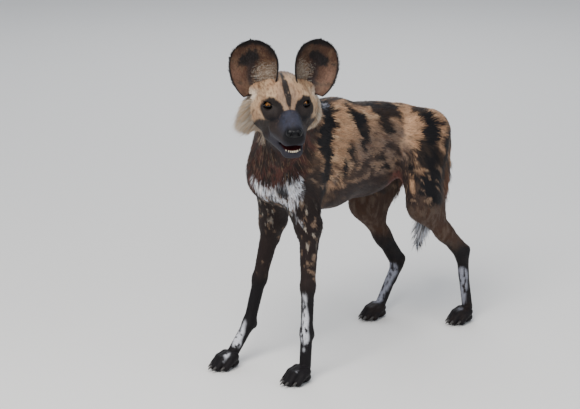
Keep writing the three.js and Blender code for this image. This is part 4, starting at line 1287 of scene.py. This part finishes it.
def lie_of(p, facing):
    """The way that the coat lies at each place."""
    y, z = p[:, 1], p[:, 2]
    tail_way = np.where(p[:, 2:] > 470, vec(0, 0.55, -0.8), vec(-0.12, -0.1, -1))
    way = painted(
        np.tile(vec(0, 1, -0.42), (len(p), 1)),
        (vec(0, 1, -0.06), smooth(0.3, 0.9, facing[:, 2])),
        (vec(0, 0.05, -1), smooth(-0.2, -0.75, facing[:, 1]) * smooth(200, 100, y)),
        (vec(0, 0.42, -1), smooth(540, 470, z) * smooth(400, 450, y)),
        (vec(0, 0.2, -1), smooth(500, 430, z) * smooth(240, 190, y)),
        (vec(0, 0.06, -1), smooth(330, 280, z)),
        (vec(0, -1, -0.5), smooth(62, 40, z)),
        (NECK_DOWN + vec(0, 0.1, -0.25), neck_share(p)),
        (tail_way, tail_share(p)),
        (head_way(from_head(p)) @ HEAD[:3, :3].T, head_share(p)),
    )
    swirl = noises(p, 42, (41, 42, 43), 0.16) + noises(p, 10, (44, 45, 46), 0.13)
    return unit(way) + swirl + dice.normal(0, 0.07, p.shape)


def bare_of(p):
    """Where no tuft grows: the mouth, the nose, the eyes and the soles."""
    h = from_head(p)
    bare = (np.abs(MOUTH(h)) < 1.2) & (h[:, 1] < -4) & (head_share(p) > 0.5)
    bare |= (nose_field(h) < 1.2) | (p[:, 2] < 1.5)
    for s in SIGNS:
        q = put(p, np.linalg.inv(eye_place(s)))
        bare |= (np.hypot(q[:, 0] / 15.5, q[:, 2] / 12.5) < 1) & (q[:, 1] < 4)
    return bare


centres = skin_points[skin_faces].mean(1)
face_length = hair_length(centres)
face_bare = bare_of(centres)
face_part = part_of(centres)
cover = 1 / (face_length * hair_width(face_length))


def grow(name, slot, where, most, count):
    """Short tufts over a part of the skin, closer together where they are finer."""
    weights = np.where(where & ~face_bare, np.minimum(cover, most), 0)
    roots, facing = sown(weights, int(count * SHARE))
    length = spread(hair_length(roots), 0.13)
    width = hair_width(length) * 1.0
    lift = np.clip(0.14 + 0.07 * noise(roots, 14, 51) + dice.normal(0, 0.04, len(roots)), 0.05, 0.5)
    droop = 0.45 + 0.1 * noise(roots, 20, 52)
    colours = tinted(coat_colour(roots + facing * COAT_START))
    lie = lie_of(roots, facing)
    tufts(name, slot, roots, facing, lie, length, width, lift, droop, colours, atlas(roots))


grow("coat_body", "coat", (face_part < 2) & (head_share(centres) <= 0.5), 0.09, 46000)
grow("coat_legs", "dark_coat", face_part >= 2, 0.13, 25000)
grow("coat_head", "face_coat", head_share(centres) > 0.5, 0.3, 25000)


def grow_long(name, slot, count, weight, length_of, way_of, lift, droop, wide, colour_of=coat_colour):
    """Long tufts with three joints each, in clumps."""
    roots, facing = sown(np.where(face_bare, 0, weight(centres)), int(count * SHARE))
    length = spread(length_of(roots) + np.zeros(len(roots)), 0.12)
    width = spread(np.full(len(roots), wide * WIDER), 0.15)
    rise = np.clip(spread(np.full(len(roots), lift), 0.25), 0.03, 1.2)
    bend = droop + dice.normal(0, 0.08, len(roots))
    way = way_of(roots) + noises(roots, 16, (61, 62, 63), 0.25) + noises(roots, 7, (64, 65, 66), 0.2)
    way += dice.normal(0, 0.06, roots.shape)
    # a tuft that would point straight out of the skin is a short one
    length *= 0.15 + 0.85 * smooth(0.97, 0.75, np.abs((unit(way) * facing).sum(1)))
    colours = tinted(colour_of(roots), 0.2)
    tufts(name, slot, roots, facing, way, length, width, rise, bend, colours, atlas(roots), (0.0, 0.35, 0.7))


def ruff_weight(p):
    x, y, z = from_head(p).T
    back = band(y, 28, 46, 66, 80) * smooth(38, 48, np.abs(x))
    return back * band(z, -90, -76, -12, 10) * head_share(p)


def ruff_length(p):
    x, y, z = from_head(p).T
    long = np.interp(z, [-100, -70, -30, 10], [26, 54, 58, 18]) * np.interp(y, [28, 60], [0.65, 1])
    return long * np.where(x > 0, 0.38, 1.0)


def ruff_way(p):
    x, y, z = from_head(p).T
    return out_of_head(np.where(x > 0, 0.45, -0.85 * smooth(-112, -60, z)), 0.5, -0.8 + 0.006 * z, p)


def ruff_colour(p):
    pale = np.where(dice.random((len(p), 1)) < 0.45, CREAM * 0.78, PALE_TAN * 0.9)
    return coat_colour(p) * 0.15 + pale * 0.85


def ear_root_weight(p):
    h = from_head(p)
    near = np.linalg.norm((np.abs(h) * (1, 0, 0) + h * (0, 1, 1) - (60, 64, 26)) / (26, 34, 24), axis=1)
    return smooth(1.1, 0.7, near) * (h[:, 2] > 8) * head_share(p)


def ear_root_way(p):
    return out_of_head(0.35 * np.sign(from_head(p)[:, 0]), 0.55, 0.75, p)


def bib_weight(p):
    along = (p - NECK_TOP) @ NECK_DOWN
    front = vec(0.25, -1, -0.3)
    front = unit(front - NECK_DOWN * (front @ NECK_DOWN))
    ahead = unit(p - NECK_TOP - NECK_DOWN * along[:, None]) @ front
    here = smooth(-0.1, 0.5, ahead) * band(along, -20, 10, 110, 150)
    return here * (1 - head_share(p)) * (p[:, 2] > 500)


def bib_colour(p):
    colour = coat_colour(p)
    return painted(colour, (PALE_TAN, (dice.random(len(p)) < 0.1) * 0.3))


def brush_length(p):
    return np.interp(p[:, 2], [200, 300, 420, 540], [52, 66, 48, 24])


def fringe_weight(p):
    out = np.abs(p[:, 0])
    rear = smooth(548, 566, p[:, 1]) * band(out, 40, 52, 96, 110)
    return rear * band(p[:, 2], 336, 352, 440, 470)


grow_long("ruff", "face_coat", 8500, ruff_weight, ruff_length, ruff_way, 0.5, 0.25, 0.9, ruff_colour)
grow_long("ear_roots", "face_coat", 2600, ear_root_weight, lambda p: 13.0, ear_root_way, 0.22, 0.3, 0.9)
grow_long(
    "bib",
    "dark_coat",
    5200,
    bib_weight,
    lambda p: 42.0,
    lambda p: NECK_DOWN + vec(0, -0.05, -0.6),
    0.16,
    0.5,
    1.5,
    bib_colour,
)
grow_long(
    "brush",
    "dark_coat",
    3200,
    lambda p: tail_share(p) * (smooth(520, 480, p[:, 2]) + 0.15),
    brush_length,
    lambda p: np.where(p[:, 2:] > 470, vec(0, 0.5, -0.85), vec(-0.14, -0.1, -1)),
    0.15,
    0.4,
    2.0,
)
grow_long("fringe", "coat", 1200, fringe_weight, lambda p: 34.0, lambda p: vec(0, 0.25, -1), 0.2, 0.4, 2.0)

# kind, count, length, width, lift, droop, and how much the way, length, lift and colour vary
EAR_FUR = [
    ("back", 3000, 8.0, 1.4, 0.18, 0.4, 0.15, 0.2, 0.06, 0.2),
    ("cup", 3000, 6.5, 1.05, 0.22, 0.4, 0.15, 0.2, 0.06, 0.2),
    ("rim", 1600, 3.8, 0.7, 0.4, 0.4, 0.15, 0.2, 0.06, 0.2),
    ("fringe", 2600, 18.0, 0.45, 0.32, 0.9, 0.26, 0.25, 0.1, 0.14),
]


def ear_frame(side, share, across, out):
    """Places on an ear, with the ways out of it, up it and across it there."""

    def at(up, aside):
        return ear_points(side, np.clip(share + up, 0, 1), np.clip(across + aside, -1, 1), out)

    eps = 0.01
    du = at(eps, 0) - at(-eps, 0)
    dv = at(0, eps) - at(0, -eps)
    facing = unit(np.cross(du, dv))
    behind = unit(ear_points(side, share, across, 1.0) - ear_points(side, share, across, -1.0))
    facing *= np.sign((facing * behind).sum(1, keepdims=True) * out[:, None])
    return at(0, 0), facing, unit(du), unit(dv)


def ear_roots(kind, count, s):
    """Where an ear's tufts stand: up it, across it, and behind or within it."""
    if kind == "fringe":
        share = np.clip(0.31 + dice.normal(0, 0.1, count), 0.1, 0.6)
        return share, -s * np.clip(0.5 + dice.normal(0, 0.24, count), -0.05, 0.97), np.full(count, -1.0)
    share = dice.uniform(0.22, 0.995, count)
    across = dice.uniform(-0.99, 0.99, count)
    if kind != "rim":
        return share, across, np.full(count, -1.0 if kind == "cup" else 1.0)
    on_side = dice.random(count) < 0.7
    across = np.where(on_side, np.sign(across) * dice.uniform(0.93, 1, count), across)
    share = np.where(on_side, share, dice.uniform(0.93, 1, count))
    return share, across, dice.choice([-1.0, 1.0], count)


def ear_hair(side):
    """Short fur on both faces of an ear and round its rim, and long pale hair along its cup's inner edge."""
    s = SIDES[side]
    for kind, count, long, wide, lift, droop, stray, uneven, uneven_lift, uneven_tint in EAR_FUR:
        count = int(count * SHARE)
        share, across, out = ear_roots(kind, count, s)
        spot, facing, up, aside = ear_frame(side, share, across, out)
        if kind == "fringe":
            way = up * (0.1 + 0.9 * np.sin(9 * share + 4 * across))[:, None] * 0.4 + aside * s
        else:
            way = up + aside * (np.sign(across) * across**2 * 0.8)[:, None]
        way += dice.normal(0, stray, spot.shape)
        length = spread(np.full(count, long), uneven)
        width = np.full(count, wide)
        rise = lift + dice.normal(0, uneven_lift, count)
        if kind == "fringe":
            length *= 1 - 0.4 * share
            rise = np.clip(rise, 0.1, 0.8)
            tint = np.where(dice.random((count, 1)) < 0.45, CREAM * 0.6, TAN * 0.42)
        else:
            width *= WIDER
            rise = np.clip(rise, 0.05, 0.8)
            tint = ear_colour(side, share, across, out, spot)
        tint = tinted(tint, uneven_tint)
        column = (0 if s > 0 else 2) + (out < 0)
        uv = np.stack([0.525 + 0.115 * column + 0.105 * (across + 1) / 2, 0.83 + 0.15 * share], -1)
        bend = np.full(count, droop)
        tufts(f"ear_{kind}_{side}", "ear", spot, facing, way, length, width, rise, bend, tint, uv, sink=0.3)


for side in SIDES:
    ear_hair(side)

counts = [count for piece, count in pieces]
print("coat pieces", len(counts), "triangles", sum(counts), "largest", max(counts))


# Floor, light and camera

FLOOR_HALF = 30.0
LIT_SPOT = Vector((0, 0, 0.45))
# name, place, size, power and colour
LAMPS = [
    ("key", (1.0, -2.4, 3.6), 2.6, 235, (1.0, 0.97, 0.93)),
    ("fill", (3.4, 0.6, 1.8), 2.5, 30, (0.9, 0.95, 1.0)),
    ("back", (-2.6, 2.6, 3.0), 3.0, 70, (0.95, 0.97, 1.0)),
]
PHOTO_WIDTH = 580
FOCAL_PIXELS = 2200
SENSOR = 36
CAMERA_PLACE = vec(3646, -3667, 1921)
CAMERA_BACK = Vector((0.668, -0.691, 0.276))


def aimed(name, data, spot, way):
    """A lamp or camera at a spot, turned to look along a way."""
    made = in_scene(name, data)
    made.location = spot
    made.rotation_euler = way.to_track_quat("-Z", "Y").to_euler()
    return made


def stage():
    floor_paint = grained("pale_floor", (0.8, 0.79, 0.77), 0.9, 6, 0.0005)
    corners = FLOOR_HALF * np.array([(-1, -1, 0), (1, -1, 0), (1, 1, 0), (-1, 1, 0)])
    mesh_object("floor", corners, [(0, 1, 2, 3)], floor_paint)
    world = bpy.data.worlds.new("soft_sky")
    bpy.context.scene.world = world
    world.use_nodes = True
    sky = world.node_tree.nodes["Background"].inputs
    sky["Color"].default_value = (0.84, 0.9, 1.0, 1)
    sky["Strength"].default_value = 0.5
    for name, spot, size, power, colour in LAMPS:
        lamp = bpy.data.lights.new(name, "AREA")
        lamp.size, lamp.energy, lamp.color = size, power, colour
        aimed(name, lamp, spot, LIT_SPOT - Vector(spot))


def camera():
    lens = bpy.data.cameras.new("camera")
    lens.sensor_width, lens.clip_end = SENSOR, 60
    lens.lens = FOCAL_PIXELS / PHOTO_WIDTH * SENSOR
    bpy.context.scene.camera = aimed("camera", lens, home(CAMERA_PLACE), -CAMERA_BACK)


stage()
camera()
